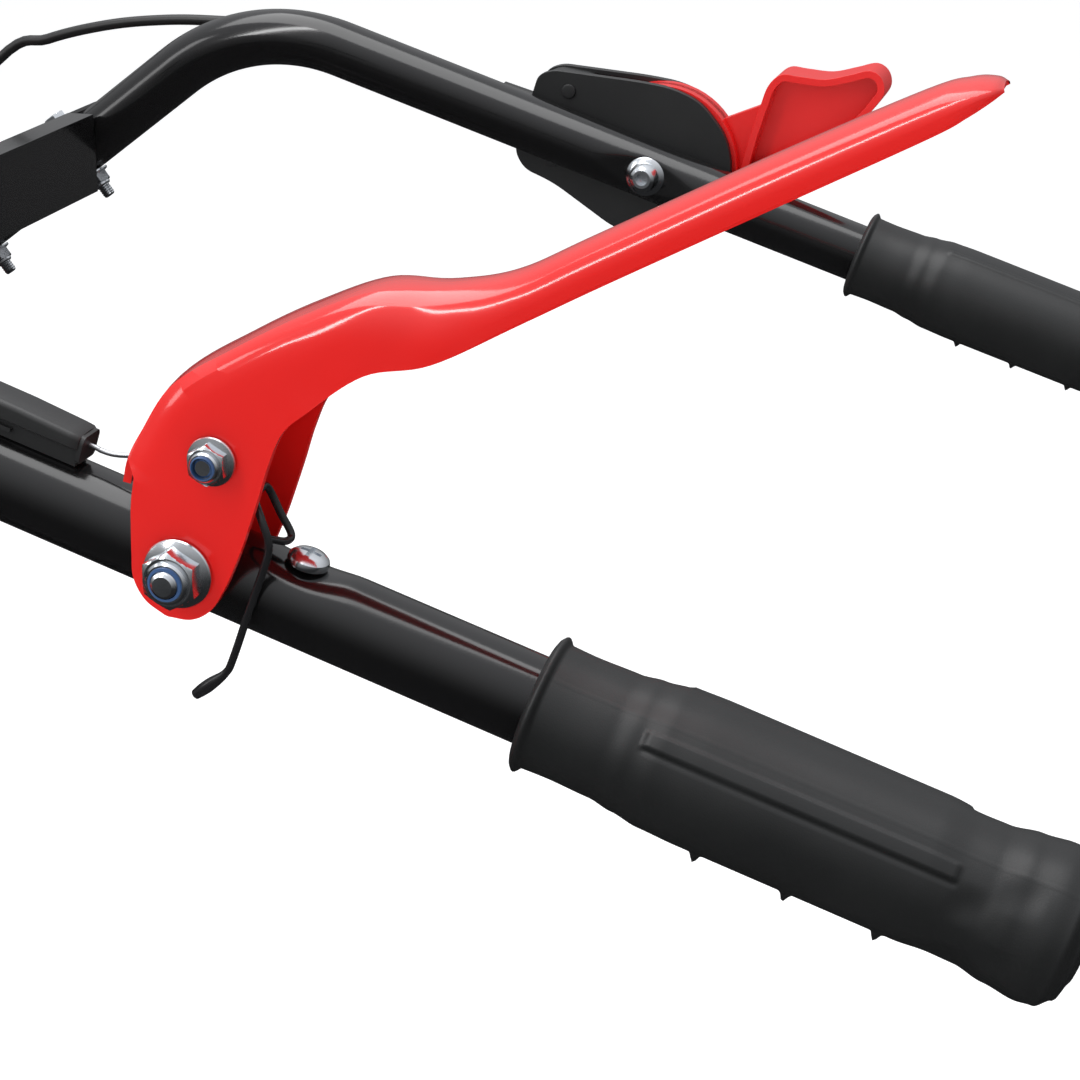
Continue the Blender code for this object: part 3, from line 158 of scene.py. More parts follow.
surface("black_powder_coat", (0.0050, 0.0050, 0.0052), 0.17, spread=0.03, grain=900, depth=0.000010,
        tint=0.10, coat=0.25)
surface("red_lacquer", (0.74, 0.011, 0.009), 0.18, spread=0.03, grain=260, depth=0.000016, tint=0.03,
        cloud=9, coat=0.6)
surface("housing_paint", (0.66, 0.012, 0.011), 0.24, spread=0.05, grain=420, depth=0.000020, tint=0.05,
        cloud=7, coat=0.3)
surface("red_plastic", (0.74, 0.013, 0.012), 0.30, spread=0.05, grain=1600, depth=0.000010, tint=0.04)
surface("grip_rubber", (0.0110, 0.0118, 0.0120), 0.46, spread=0.07, grain=2300, depth=0.000030, tint=0.16,
        cloud=30)
surface("black_plastic", (0.017, 0.0175, 0.018), 0.42, spread=0.06, grain=1900, depth=0.000028, tint=0.12,
        cloud=24)
surface("cable_sheath", (0.012, 0.012, 0.012), 0.40, spread=0.05, grain=1500, depth=0.000015, tint=0.10)
surface("black_wire", (0.011, 0.011, 0.012), 0.22, spread=0.05, grain=1200, depth=0.000012, tint=0.15)
surface("zinc_plate", (0.74, 0.77, 0.80), 0.20, metal=1.0, spread=0.07, grain=1300, depth=0.000014,
        tint=0.07, cloud=120)
surface("bare_steel", (0.50, 0.51, 0.53), 0.33, metal=1.0, spread=0.08, grain=700, depth=0.000016,
        tint=0.10, cloud=40)
surface("cast_aluminium", (0.42, 0.43, 0.45), 0.48, metal=1.0, spread=0.08, grain=900, depth=0.000080,
        tint=0.10, cloud=30)
surface("tyre_rubber", (0.018, 0.018, 0.018), 0.72, spread=0.08, grain=700, depth=0.000060, tint=0.20,
        cloud=16)
surface("belt_rubber", (0.022, 0.021, 0.021), 0.70, spread=0.08, grain=1500, depth=0.000050, tint=0.20)
surface("lock_ring", (0.035, 0.090, 0.220), 0.35, grain=1500, depth=0.000008, tint=0.08)
surface("rope", (0.55, 0.54, 0.50), 0.80, grain=2600, depth=0.000120, tint=0.25, speckle=1500)


# ---------------------------------------------------------------- shapes
def skin(rings, closed=False):
    bm = bmesh.new()
    loops = [[bm.verts.new(p) for p in ring] for ring in rings]
    count = len(loops[0])
    for i in range(len(loops) if closed else len(loops) - 1):
        a = loops[i]
        b = loops[(i + 1) % len(loops)]
        for j in range(count):
            k = (j + 1) % count
            bm.faces.new((a[j], a[k], b[k], b[j]))
    if not closed:
        bm.faces.new(list(reversed(loops[0])))
        bm.faces.new(loops[-1])
    bmesh.ops.recalc_face_normals(bm, faces=bm.faces)
    return bm


def across(axis):
    """Two directions square to an axis."""
    axis = Vector(axis).normalized()
    start = Vector((0, 0, 1)) if abs(axis.z) < 0.9 else Vector((1, 0, 0))
    side = start.cross(axis).normalized()
    return axis, side, axis.cross(side)


def frames_along(points):
    points = [Vector(p) for p in points]
    tangents = []
    for i in range(len(points)):
        tangents.append((points[min(i + 1, len(points) - 1)] - points[max(i - 1, 0)]).normalized())
    start = Vector((1, 0, 0))
    if abs(tangents[0].dot(start)) > 0.9:
        start = Vector((0, 0, 1))
    side = (start - tangents[0] * start.dot(tangents[0])).normalized()
    out = []
    for point, tangent in zip(points, tangents):
        side = (side - tangent * side.dot(tangent)).normalized()
        out.append((point, side, tangent.cross(side)))
    return out


def turns(count):
    """The angles of evenly spaced directions in one full turn."""
    return [2 * math.pi * k / count for k in range(count)]


def circle_points(centre, side, up, radius, count):
    return [centre + side * (radius * math.cos(angle)) + up * (radius * math.sin(angle))
            for angle in turns(count)]


def rod(points, radius, sides=32):
    frames = frames_along(points)
    radii = radius if isinstance(radius, (list, tuple)) else [radius] * len(frames)
    return skin([circle_points(p, s, u, r, sides) for (p, s, u), r in zip(frames, radii)])


def pipe(points, radius, wall, sides=48, shape=None):
    """A tube with open ends; shape(point) may move a point of the outer wall."""
    frames = frames_along(points)
    outer = [circle_points(p, s, u, radius, sides) for p, s, u in frames]
    inner = [circle_points(p, s, u, radius - wall, sides) for p, s, u in frames]
    if shape:
        outer = [[shape(p) for p in ring] for ring in outer]
    return skin(outer + list(reversed(inner)), closed=True)


def turned(profile, centre, axis, sides=64, closed=True):
    """Spins (along, radius) points round an axis; an open profile gets flat ends."""
    axis, side, up = across(axis)
    centre = Vector(centre)
    if not closed:
        return skin([circle_points(centre + axis * a, side, up, r, sides) for a, r in profile])
    rings = []
    for angle in turns(sides):
        out = side * math.cos(angle) + up * math.sin(angle)
        rings.append([centre + axis * along + out * radius for along, radius in profile])
    return skin(rings, closed=True)


def prism(outline, place, low, high):
    """Extrudes a flat outline; place(a, b, depth) gives the point."""
    return skin([[place(a, b, depth) for a, b in outline] for depth in (low, high)])


def in_x(a, b, d):
    return Vector((d, a, b))


def in_y(a, b, d):
    return Vector((a, d, b))


def in_z(a, b, d):
    return Vector((a, b, d))


def hollow_prism(outer, inner, place, low, high):
    """Extrudes the band between two outlines."""
    return skin([[place(a, b, depth) for a, b in outline]
                 for outline, depth in ((outer, low), (outer, high), (inner, high), (inner, low))],
                closed=True)


def corners(low, high):
    """The outline of an upright rectangle."""
    return [(low[0], low[1]), (high[0], low[1]), (high[0], high[1]), (low[0], high[1])]


def box(low, high):
    return prism(corners(low, high), in_z, low[2], high[2])


def spoke(angle):
    """The outward and the sideways direction at an angle round the front to back axis."""
    return Vector((math.cos(angle), 0, math.sin(angle))), Vector((-math.sin(angle), 0, math.cos(angle)))


def slab(centre, a, b, c):
    """A block from its centre and three half-axes."""
    centre = Vector(centre)
    return skin([[centre - a - b + c * k, centre + a - b + c * k, centre + a + b + c * k,
                  centre - a + b + c * k] for k in (-1, 1)])


def arc(centre, radius, start, end, steps):
    out = []
    for k in range(steps + 1):
        angle = math.radians(start + (end - start) * k / steps)
        out.append((centre[0] + radius * math.cos(angle), centre[1] + radius * math.sin(angle)))
    return out


def smooth_path(points, per_span):
    pts = [Vector(p) for p in points]
    pts = [pts[0] * 2 - pts[1]] + pts + [pts[-1] * 2 - pts[-2]]
    out = []
    for i in range(1, len(pts) - 2):
        a, b, c, d = pts[i - 1:i + 3]
        for k in range(per_span):
            t = k / per_span
            out.append(0.5 * (2 * b + (c - a) * t + (2 * a - 5 * b + 4 * c - d) * t ** 2
                              + (3 * b - a - 3 * c + d) * t ** 3))
    out.append(pts[-2])
    return out


def rounded(outline, radius, steps=5):
    """Rounds the corners of a closed outline of (a, b) points."""
    out = []
    count = len(outline)
    for i in range(count):
        here = Vector(outline[i])
        to_last = Vector(outline[i - 1]) - here
        to_next = Vector(outline[(i + 1) % count]) - here
        reach = min(radius, to_last.length * 0.45, to_next.length * 0.45)
        p = here + to_last.normalized() * reach
        q = here + to_next.normalized() * reach
        for k in range(steps + 1):
            t = k / steps
            out.append(tuple(p * (1 - t) ** 2 + here * 2 * t * (1 - t) + q * t ** 2))
    return out


def join(*parts):
    whole = bmesh.new()
    for part in parts:
        mesh = bpy.data.meshes.new("part")
        part.to_mesh(mesh)
        part.free()
        whole.from_mesh(mesh)
        bpy.data.meshes.remove(mesh)
    return whole


def raw(name, bm):
    mesh = bpy.data.meshes.new(name)
    bm.to_mesh(mesh)
    bm.free()
    obj = bpy.data.objects.new(name, mesh)
    bpy.context.scene.collection.objects.link(obj)
    return obj


def cut(bm, *tools):
    """Subtracts solids from a solid."""
    obj = raw("blank", bm)
    for tool_bm in tools:
        tool = raw("tool", tool_bm)
        modifier = obj.modifiers.new("cut", "BOOLEAN")
        modifier.operation = "DIFFERENCE"
        modifier.solver = "EXACT"
        modifier.object = tool
        graph = bpy.context.evaluated_depsgraph_get()
        result = bpy.data.meshes.new_from_object(obj.evaluated_get(graph))
        obj.modifiers.remove(modifier)
        obj.data = result
        bpy.data.objects.remove(tool, do_unlink=True)
    out = bmesh.new()
    out.from_mesh(obj.data)
    bpy.data.objects.remove(obj, do_unlink=True)
    return out


def piece(name, bm, finish, body, nodes=(), bevel=0.0, segments=2, sharp=32, thick=0.0):
    """Makes a named piece, gives it its finish and body, and hides the CAD nodes it stands for."""
    obj = raw(name, bm)
    obj.data.shade_smooth()
    obj.data.set_sharp_from_angle(angle=math.radians(sharp))
    obj.data.materials.append(MATERIALS[finish])
    if thick:
        wall = obj.modifiers.new("sheet", "SOLIDIFY")
        wall.thickness = thick
        wall.offset = -1
        wall.use_even_offset = True
    if bevel:
        edge = obj.modifiers.new("edges", "BEVEL")
        edge.width = bevel
        edge.segments = segments
        edge.limit_method = "ANGLE"
        edge.angle_limit = math.radians(32)
        edge.harden_normals = True
    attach(obj, body)
    if nodes:
        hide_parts(*nodes)
    return obj


# ---------------------------------------------------------------- fasteners
def hex_prism(base, axis, flat, start, end):
    """A hexagon with the turned chamfer of a real nut on its outer end."""
    axis, side, up = across(axis)
    base = Vector(base)
    corner = flat / math.sqrt(3)
    rise = (corner - flat * 0.47) * math.tan(math.radians(28))
    levels = [(start, corner)]
    for share in (1.0, 0.75, 0.5, 0.25, 0.0):
        levels.append((end - rise * share, flat * 0.47 + (corner - flat * 0.47) * share))
    rings = []
    for along, limit in levels:
        ring = []
        for angle in turns(72):
            folded = (angle + math.pi / 6) % (math.pi / 3) - math.pi / 6
            r = min(flat / 2 / math.cos(folded), limit)
            ring.append(base + axis * along + side * (r * math.cos(angle)) + up * (r * math.sin(angle)))
        rings.append(ring)
    return skin(rings)


def threaded(base, axis, radius, start, end, pitch=0.0012):
    """A bolt end with its thread as close rings and a chamfered tip."""
    profile = [(start, radius * 0.90)]
    at = start
    while at < end - pitch * 1.5:
        profile += [(at + pitch * 0.30, radius), (at + pitch * 0.55, radius),
                    (at + pitch * 0.9, radius * 0.89)]
        at += pitch
    profile += [(end - 0.0006, radius * 0.93), (end, radius * 0.72)]
    return turned(profile, base, axis, 32, closed=False)


def fastener(name, head, tip, radius, flat, stack, flange, head_h, nut_h, body, nodes=(), ring=True,
             socket=False):
    """Flange bolt with a flange lock nut; stack is the clamped thickness."""
    head = Vector(head)
    axis = (Vector(tip) - head).normalized()
    length = (Vector(tip) - head).length
    back = -axis
    nut = head + axis * stack
    cone = [(0.0, flange), (0.0006, flange), (0.0010, flange * 0.97), (flange * 0.20, flat * 0.53),
            (flange * 0.24, flat * 0.40)]
    if socket:
        r = flat * 0.52
        dome = [(0.0, flange), (0.0007, flange), (0.0012, flange * 0.94), (0.0020, r),
                (head_h * 0.6, r * 0.93),
                (head_h * 0.86, r * 0.80), (head_h, r * 0.60), (head_h, r * 0.42), (head_h * 0.45, r * 0.38)]
        top = turned(dome, head, back, 48, closed=False)
    else:
        top = join(turned(cone, head, back, 48, closed=False),
                   hex_prism(head, back, flat, 0.0010, head_h))
    shank = turned([(0.0, radius * 0.98), (stack * 0.99, radius * 0.98)], head, axis, 32, closed=False)
    collar = [(nut_h - 0.0003, flat * 0.42), (nut_h + 0.0008, flat * 0.415), (nut_h + 0.0014, flat * 0.37),
              (nut_h + 0.0014, radius * 1.02), (nut_h - 0.0003, radius * 1.02)]
    bolt = join(top, shank, turned(cone, nut, axis, 48, closed=False),
                hex_prism(nut, axis, flat, 0.0010, nut_h), turned(collar, nut, axis, 48),
                threaded(head, axis, radius * 0.98, stack, length))
    piece(name, bolt, "zinc_plate", body, nodes, sharp=24)
    if ring:
        band = [(nut_h + 0.0002, radius * 1.01), (nut_h + 0.0002, flat * 0.36), (nut_h + 0.0019, flat * 0.33),
                (nut_h + 0.0021, radius * 1.01)]
        piece(name + "_lock_ring", turned(band, nut, axis, 40), "lock_ring", body)


def screw_head(at, axis, radius):
    """A low flange screw head standing on a sheet."""
    dome = [(0.0, radius), (0.0006, radius), (0.0011, radius * 0.93), (0.0014, radius * 0.62)]
    return join(turned(dome, at, axis, 28, closed=False),
                hex_prism(at, axis, radius * 1.15, 0.0008, radius * 0.75 + 0.0012))


def screw_row(name, places, axis, radius, body, finish="zinc_plate"):
    piece(name, join(*[screw_head(Vector(p), axis, radius) for p in places]), finish, body, sharp=26)


# ---------------------------------------------------------------- handlebar
def bell(value, width):
    """1 in the middle, falling smoothly to 0 at the width."""
    share = min(abs(value) / width, 1.0)
    return (1 - share * share) ** 2


def along_handle(point):
    """(u, n) of a world point."""
    flat = Vector((0, point.y - PIVOT_Y, point.z - PIVOT_Z))
    return flat.dot(U_DIR), flat.dot(N_DIR)


def handle_line(x):
    """The upper tube's axis from under the grip, round the bend, down to the joint."""
    reach = BEND_R * math.tan(BEND / 2)
    us = [0.2500, 0.2000, 0.1500, 0.1000] + [0.0800 - 0.0025 * k for k in range(56)] + [-0.0800, -0.1200]
    points = [handle(u, 0, x) for u in us]
    for k in range(29):
        angle = BEND * k / 28
        points.append(handle(BEND_U + reach - BEND_R * math.sin(angle), -BEND_R * (1 - math.cos(angle)), x))
    points += [lower(s, 0, x) for s in (0.08, 0.13, 0.20, 0.275)]
    return points


def pressed_tube(side):
    """The tube is pressed flat where the lever bolt passes, and dished under the guide screw."""
    x = side * HALF

    def shape(point):
        u, n = along_handle(point)
        out = point.x - x
        if abs(u) < 0.030 and n > -0.03:
            limit = TUBE_R - 0.0026 * bell(u, 0.026)
            if side < 0 and out > limit:
                point = Vector((x + limit, point.y, point.z))
        if side > 0 and 0.012 < u < 0.046 and n > 0:
            press = 0.0022 * bell(u - 0.029, 0.016) * bell(out, 0.0125)
            point = point - N_DIR * press
        return point
    return shape


for side, word in SIDES:
    piece("upper_tube_" + word, pipe(handle_line(side * HALF), TUBE_R, 0.0018, 64, pressed_tube(side)),
          "black_powder_coat", "chassis", ["upper_handle_" + word], sharp=50)
    x_top = side * (HALF - 2 * TUBE_R - 0.0004)
    x_low = side * FOOT_X
    low_route = [lower(0.165, 0, x_top), lower(0.200, 0, x_top), lower(0.235, 0, x_top),
                 lower(0.270, 0, x_top), lower(0.300, -0.004, x_top * 0.99),
                 Vector((x_low, 0.015, 0.500)), Vector((x_low, -0.020, 0.400)),
                 Vector((x_low, -0.045, 0.270))]
    piece("lower_tube_" + word, pipe(smooth_path(low_route, 8), TUBE_R, 0.0018, 48), "black_powder_coat",
          "chassis", ["lower_handle_" + word], sharp=50)


# ---------------------------------------------------------------- grips
def grip_radius(u, angle, side):
    """Radius of the moulded grip, u in mm along the tube, angle in degrees round it."""
    shape = ((101.0, 18.0), (112.0, 17.7), (124.0, 18.0), (131.0, 19.0), (139.0, 20.1), (150.0, 20.4),
             (212.0, 20.3), (222.0, 19.6), (229.0, 19.7), (238.0, 21.2), (247.0, 22.2), (252.0, 21.6),
             (256.2, 18.4), (258.2, 13.2), (259.2, 6.6))
    r = shape[-1][1]
    for (u0, r0), (u1, r1) in zip(shape, shape[1:]):
        if u0 <= u <= u1:
            t = (u - u0) / (u1 - u0)
            r = r0 + (r1 - r0) * t * t * (3 - 2 * t)
            break
    if side < 0:
        angle = 180 - angle

    def away(target):
        return abs((angle - target + 180) % 360 - 180) * math.pi / 180 * 20.4

    # rolled lip at the open end
    r += 1.7 * bell(u - 102.4, 1.9)
    # two long flat topped ribs
    for target, start, end, width, rise in ((36.0, 133.0, 221.0, 2.6, 0.85),
                                            (115.0, 138.0, 219.0, 1.6, 0.55)):
        gap = away(target)
        edge = min(max((width - gap) / 0.5, 0.0), 1.0) * min(max((u - start) / 0.8, 0.0), 1.0)
        edge *= min(max((end - u) / 0.8, 0.0), 1.0)
        r += rise * edge
    # a groove runs under the near rib
    trough = bell(away(36.0 - 9.6), 0.9) * (1.0 if 133.0 < u < 221.0 else 0.0)
    r -= 0.45 * trough
    # three finger nubs underneath
    for centre in (156.0, 182.0, 208.0):
        r += 3.4 * bell(u - centre, 1.9) * bell(away(-82.0), 12.0)
    # shallow dents beside the bulged end
    for target in (15.0, 165.0, -40.0):
        r -= 1.0 * bell(u - 226.0, 7.0) * bell(away(target), 7.0)
        r -= 0.8 * bell(u - 238.0, 7.0) * bell(away(target + 22.0), 6.0)
    # parting line of the mould
    r += 0.12 * bell(away(52.0), 0.35) + 0.12 * bell(away(232.0), 0.35)
    return r / 1000


def grip(side):
    x = side * HALF
    stations = []
    u = 101.0
    while u < 259.1:
        stations.append(u)
        u += 0.45 if u < 105.5 or u > 250 else 0.8
    stations.append(259.2)
    rings = []
    for u in stations:
        middle = handle(u / 1000, 0, x)
        ring = []
        for k in range(200):
            angle = 360.0 * k / 200
            r = grip_radius(u, angle, side)
            turn = math.radians(angle)
            ring.append(middle + RIGHT * (r * math.cos(turn)) + N_DIR * (r * math.sin(turn)))
        rings.append(ring)
    # inside: back out of the open end, round the tube
    bore = TUBE_R + 0.0003
    open_end = handle(0.1009, 0, x)
    inner = [circle_points(handle(0.2505, 0, x), RIGHT, N_DIR, bore, 200),
             circle_points(open_end, RIGHT, N_DIR, bore, 200),
             circle_points(open_end - U_DIR * 0.0003, RIGHT, N_DIR, bore + 0.0012, 200),
             circle_points(open_end - U_DIR * 0.0003, RIGHT, N_DIR, 0.0172, 200)]
    return skin(inner + rings)


for side, word in SIDES:
    piece("rubber_grip_" + word, grip(side), "grip_rubber", "chassis", ["grip_" + word], sharp=60)

# ---------------------------------------------------------------- left control lever
# (u, n, half width) in millimetres from the pivot: the crest, then the lower edge of the side wall
CREST = ((-23.2, 16.5, 17.6), (-23.6, 23.5, 17.6), (-22.0, 32.0, 17.6), (-17.0, 48.5, 17.6),
         (-4.0, 64.0, 17.6), (10.0, 78.5, 17.2), (26.0, 92.0, 16.6), (44.0, 99.5, 15.2), (60.0, 109.0, 13.4),
         (76.5, 125.5, 12.4), (110.0, 159.5, 12.4), (140.0, 188.6, 12.4), (149.0, 195.2, 12.0),
         (154.2, 197.4, 9.8), (157.0, 197.8, 5.6))
EDGE = ((15.0, 14.0), (15.3, 22.0), (15.5, 30.0), (15.6, 40.0),
        (16.8, 49.8), (21.3, 57.6), (33.0, 73.3), (48.5, 82.4), (66.0, 100.0),
        (84.0, 118.8), (117.0, 152.8), (145.0, 181.6), (151.8, 189.6),
        (155.4, 194.4), (157.4, 197.2))
EAR_FRONT = ((-0.6, -13.6), (-7.0, -11.7), (-11.9, -6.8), (-14.2, 0.0), (-16.2, 7.0), (-18.0, 14.0),
             (-19.1, 22.0))
EAR_REAR = ((0.6, -13.6), (7.0, -11.7), (11.4, -7.0), (13.4, 0.0), (14.4, 7.0), (15.0, 14.0), (15.3, 22.0))
WALL_STEPS = 10
WEB_STEPS = 26


def lever_point(u, n, out):
    return hmm(u, n + PIVOT_RISE * 1000, HALF * 1000 + out)


def lever_sheet():
    """The outer skin of the pressed lever: two ears, rounded shoulders and a crowned web."""
    spans = 8
    crest = smooth_path(CREST, spans)
    edge = smooth_path([(u, n, 0) for u, n in EDGE], spans)
    front = smooth_path([(u, n, 0) for u, n in EAR_FRONT], spans)
    rear = smooth_path([(u, n, 0) for u, n in EAR_REAR], spans)
    bm = bmesh.new()
    grid = []
    join_row = spans            # below this row the web hangs free of the ears
    for row, (top, foot) in enumerate(zip(crest, edge)):
        w = top.z
        down = Vector((foot.x - top.x, foot.y - top.y))
        depth = down.length
        down = down / depth
        arm = min(max((top.x - 30.0) / 40.0, 0.0), 1.0)
        arm = arm * arm * (3 - 2 * arm)
        # flat walls at the ears, a rounded shell along the arm
        power = 7.5 + (2.9 - 7.5) * min(max((top.x + 24.0) / 62.0, 0.0), 1.0)
        hem = min(1.5 * arm, depth * 0.3)
        rise = depth - hem * 1.2
        line = []
        for k in range(WALL_STEPS + 1):
            share = 1 - k / WALL_STEPS
            drop = rise * share
            short = max(1 - (drop + 0.6) / (rise + 0.6), 0.0)
            reach = w * (1 - short ** power) ** (1 / power)
            ripple = 0.0
            if 6.0 < top.x < 62.0:
                ripple = 0.55 * noise.noise(Vector((top.x * 0.10, drop * 0.10, 3.0)))
            line.append((reach + ripple * share, drop))
        start_out = line[-1][0]
        web = []
        for k in range(1, WEB_STEPS):
            s = 1 - 2 * k / WEB_STEPS
            web.append((start_out * s, -(0.5 + 0.5 * arm) * (1 - s * s) * start_out / 6.0))
        if hem:
            line = [(line[0][0] - hem * 0.9, depth), (line[0][0] - hem * 0.25, depth - hem * 0.55)] + line[2:]
        section = line + web + [(-a, drop) for a, drop in reversed(line)]
        made = []
        for k, (out, drop) in enumerate(section):
            wall = k <= WALL_STEPS or k >= len(section) - WALL_STEPS - 1
            at = Vector((top.x, top.y)) + down * drop
            if row < join_row and wall and k not in (WALL_STEPS, len(section) - WALL_STEPS - 1):
                made.append(None)
                continue
            made.append(bm.verts.new(lever_point(at.x, at.y, out)))
        grid.append(made)
    for a, b in zip(grid, grid[1:]):
        for k in range(len(a) - 1):
            quad = (a[k], a[k + 1], b[k + 1], b[k])
            if all(quad):
                bm.faces.new(quad)
    # the ears, from the round foot up to the row where the web joins them
    first = grid[join_row]
    for sign in (1, -1):
        top_line = first[:WALL_STEPS + 1] if sign > 0 else list(reversed(first[-WALL_STEPS - 1:]))
        rows = []
        for f, r in zip(front, rear):
            rows.append([bm.verts.new(lever_point(r.x + (f.x - r.x) * k / WALL_STEPS,
                                                  r.y + (f.y - r.y) * k / WALL_STEPS, sign * 17.6))
                         for k in range(WALL_STEPS + 1)])
        rows = rows[:-1] + [top_line]
        for a, b in zip(rows, rows[1:]):
            for k in range(WALL_STEPS):
                bm.faces.new((a[k], a[k + 1], b[k + 1], b[k]))
    loose = [v for v in bm.verts if not v.link_faces]
    bmesh.ops.delete(bm, geom=loose, context="VERTS")
    bmesh.ops.recalc_face_normals(bm, faces=bm.faces)
    # the sheet thickens inwards, so its faces have to look outwards
    probe = max(bm.faces, key=lambda f: f.calc_center_median().z)
    if probe.normal.z < 0:
        bmesh.ops.reverse_faces(bm, faces=bm.faces)
    return bm


piece("lever_pressing", lever_sheet(), "red_lacquer", "clutch_lever", ["clutch_lever"], sharp=60,
      thick=0.0022, bevel=0.0006)

EAR_OUT = 0.0176
head = handle(0, PIVOT_RISE, HALF - EAR_OUT - 0.0004)
fastener("lever_pivot_bolt", head, head + RIGHT * (2 * EAR_OUT + 0.0113), 0.0040, 0.0145,
         2 * EAR_OUT + 0.0008, 0.0099, 0.0060, 0.0072, "chassis", ["clutch_pivot_bolt"])
head = handle(0.0007, 0.0374, HALF - EAR_OUT - 0.0004)
fastener("lever_cable_pin", head, head + RIGHT * (2 * EAR_OUT + 0.0070), 0.0030, 0.0100,
         2 * EAR_OUT + 0.0008, 0.0069, 0.0040, 0.0048, "clutch_lever", ["cable_pin"])

SPRING_ROUTE = ((12.7, -32.8, 13.0), (16.2, -27.4, 13.6), (19.4, -22.2, 13.8), (20.3, -17.0, 14.0),
                (20.9, 0.0, 14.1), (21.5, 15.0, 14.1), (20.6, 20.0, 14.1), (16.8, 25.0, 13.4),
                (12.8, 28.0, 10.0), (11.4, 28.6, 2.0), (12.4, 26.8, -1.5), (17.0, 21.5, -2.0),
                (21.8, 17.0, -1.5), (21.6, 15.6, 1.0), (18.0, 15.6, 3.5))
spring_path = smooth_path([hmm(u, n, HALF * 1000 + x) for u, n, x in SPRING_ROUTE], 8)
# its foot is hammered thicker
spring_radii = [0.00110 + 0.00075 * bell(k - 6, 11) for k in range(len(spring_path))]
piece("torsion_spring", rod(spring_path, spring_radii, 20), "black_wire", "chassis", ["return_spring"])

base = handle(0.0290, TUBE_R - 0.0012, HALF)
pan = [(0.0, 0.0058), (0.0010, 0.0060), (0.0020, 0.0057), (0.0030, 0.0046), (0.0036, 0.0030),
       (0.0038, 0.0008)]
pan_screw = turned(pan, base, N_DIR, 48, closed=False)
slot_tool = slab(base + N_DIR * 0.0042, U_DIR * 0.0030, RIGHT * 0.0007, N_DIR * 0.0016)
cross_tool = slab(base + N_DIR * 0.0042, U_DIR * 0.0007, RIGHT * 0.0030, N_DIR * 0.0016)
piece("pan_head_screw", cut(pan_screw, slot_tool, cross_tool), "zinc_plate", "chassis", ["guide_screw"],
      sharp=28)


def boot():
    """Moulded rest of the clutch cable: a flat topped bar over a narrower foot on the tube."""
    rings = []
    for u, wide, top in ((-104.6, 4.6, 21.8), (-103.4, 5.8, 23.6), (-100.0, 6.2, 24.2), (-60.0, 6.2, 23.7),
                         (-44.0, 6.1, 23.0), (-41.6, 6.0, 22.8), (-40.8, 5.6, 22.5)):
        outline = [(-4.0, 12.6), (4.0, 12.6), (4.0, 17.9), (wide - 0.4, 18.1), (wide, 18.6),
                   (wide, top - 2.0)]
        for k in range(1, 8):
            t = math.pi / 2 * k / 8
            outline.append((wide - 1.6 + 1.6 * math.cos(t), top - 2.0 + 1.6 * math.sin(t)))
        for k in range(13):
            share = 1 - k / 6
            outline.append(((wide - 1.6) * share, top - 0.4 * share * share))
        for k in range(7, 0, -1):
            t = math.pi / 2 * k / 8
            outline.append((-wide + 1.6 - 1.6 * math.cos(t), top - 2.0 + 1.6 * math.sin(t)))
        outline += [(-wide, top - 2.0), (-wide, 18.6), (-wide + 0.4, 18.1), (-4.0, 17.9)]
        rings.append([hmm(u, n, HALF * 1000 + x) for x, n in outline])
    collar = [(-5.2, 14.0), (5.2, 14.0), (5.4, 20.6), (4.4, 22.2), (-4.4, 22.2), (-5.4, 20.6)]
    plate = prism([(x / 1000 + HALF, n / 1000) for x, n in rounded(collar, 1.4)],
                  lambda x, n, u: handle(u, n, x), -0.0410, -0.0396)
    tabs = [slab(hmm(u, 15.6, HALF * 1000 + 4.4), U_DIR * 0.0050, N_DIR * 0.0006, RIGHT * 0.0009)
            for u in (-66.0, -82.0)]
    return join(skin(rings), plate, *tabs)


piece("cable_boot", boot(), "black_plastic", "chassis", ["cable_guide"], bevel=0.0005, sharp=40)
WIRE = ((-66.0, 18.6), (-40.0, 18.6), (-36.0, 18.4), (-32.0, 18.9), (-27.0, 20.8), (-22.0, 24.0),
        (-15.0, 29.0), (-9.0, 33.0))
piece("inner_wire", rod(smooth_path([hmm(u, n, HALF * 1000) for u, n in WIRE], 8), 0.00075, 16), "bare_steel",
      "clutch_wire", ["clutch_wire"])

# ---------------------------------------------------------------- right control
INNER = -HALF - TUBE_R - 0.0004
OUTER = INNER - 0.0190
PLATE = ((-66.0, -18.5), (-59.0, -25.0), (-44.0, -26.0), (-8.0, -36.0), (12.0, -33.0), (31.0, -15.0),
         (34.0, 8.0), (25.5, 24.0), (9.0, 34.3), (-5.0, 35.6), (-20.0, 33.0), (-60.0, 23.5), (-66.0, 19.0))
plate_line = [(u / 1000, n / 1000) for u, n in rounded(PLATE, 9.0, 8)]
shrunk = [(u * 0.955 - 0.0006, n * 0.93) for u, n in plate_line]
shell_parts = [prism(plate_line, handle, INNER - 0.0026, INNER - 0.0002)]
for low, high in ((INNER - 0.0040, INNER - 0.0024), (OUTER + 0.0024, OUTER + 0.0040)):
    shell_parts.append(hollow_prism(plate_line, shrunk, handle, low, high))
shell_parts.append(prism(plate_line, handle, OUTER, OUTER + 0.0026))
block = [(-0.0650, -0.0175), (-0.0580, -0.0240), (-0.0420, -0.0245), (-0.0420, 0.0260), (-0.0600, 0.0228),
         (-0.0650, 0.0180)]
shell_parts.append(prism(rounded(block, 0.004), handle, OUTER + 0.0010, INNER - 0.0010))
shell_parts.append(turned([(0.0, 0.0042), (0.016, 0.0036), (0.016, 0.0030), (0.0, 0.0030)],
                          handle(-0.0660, 0.0040, INNER - 0.0099), -U_DIR, 32))
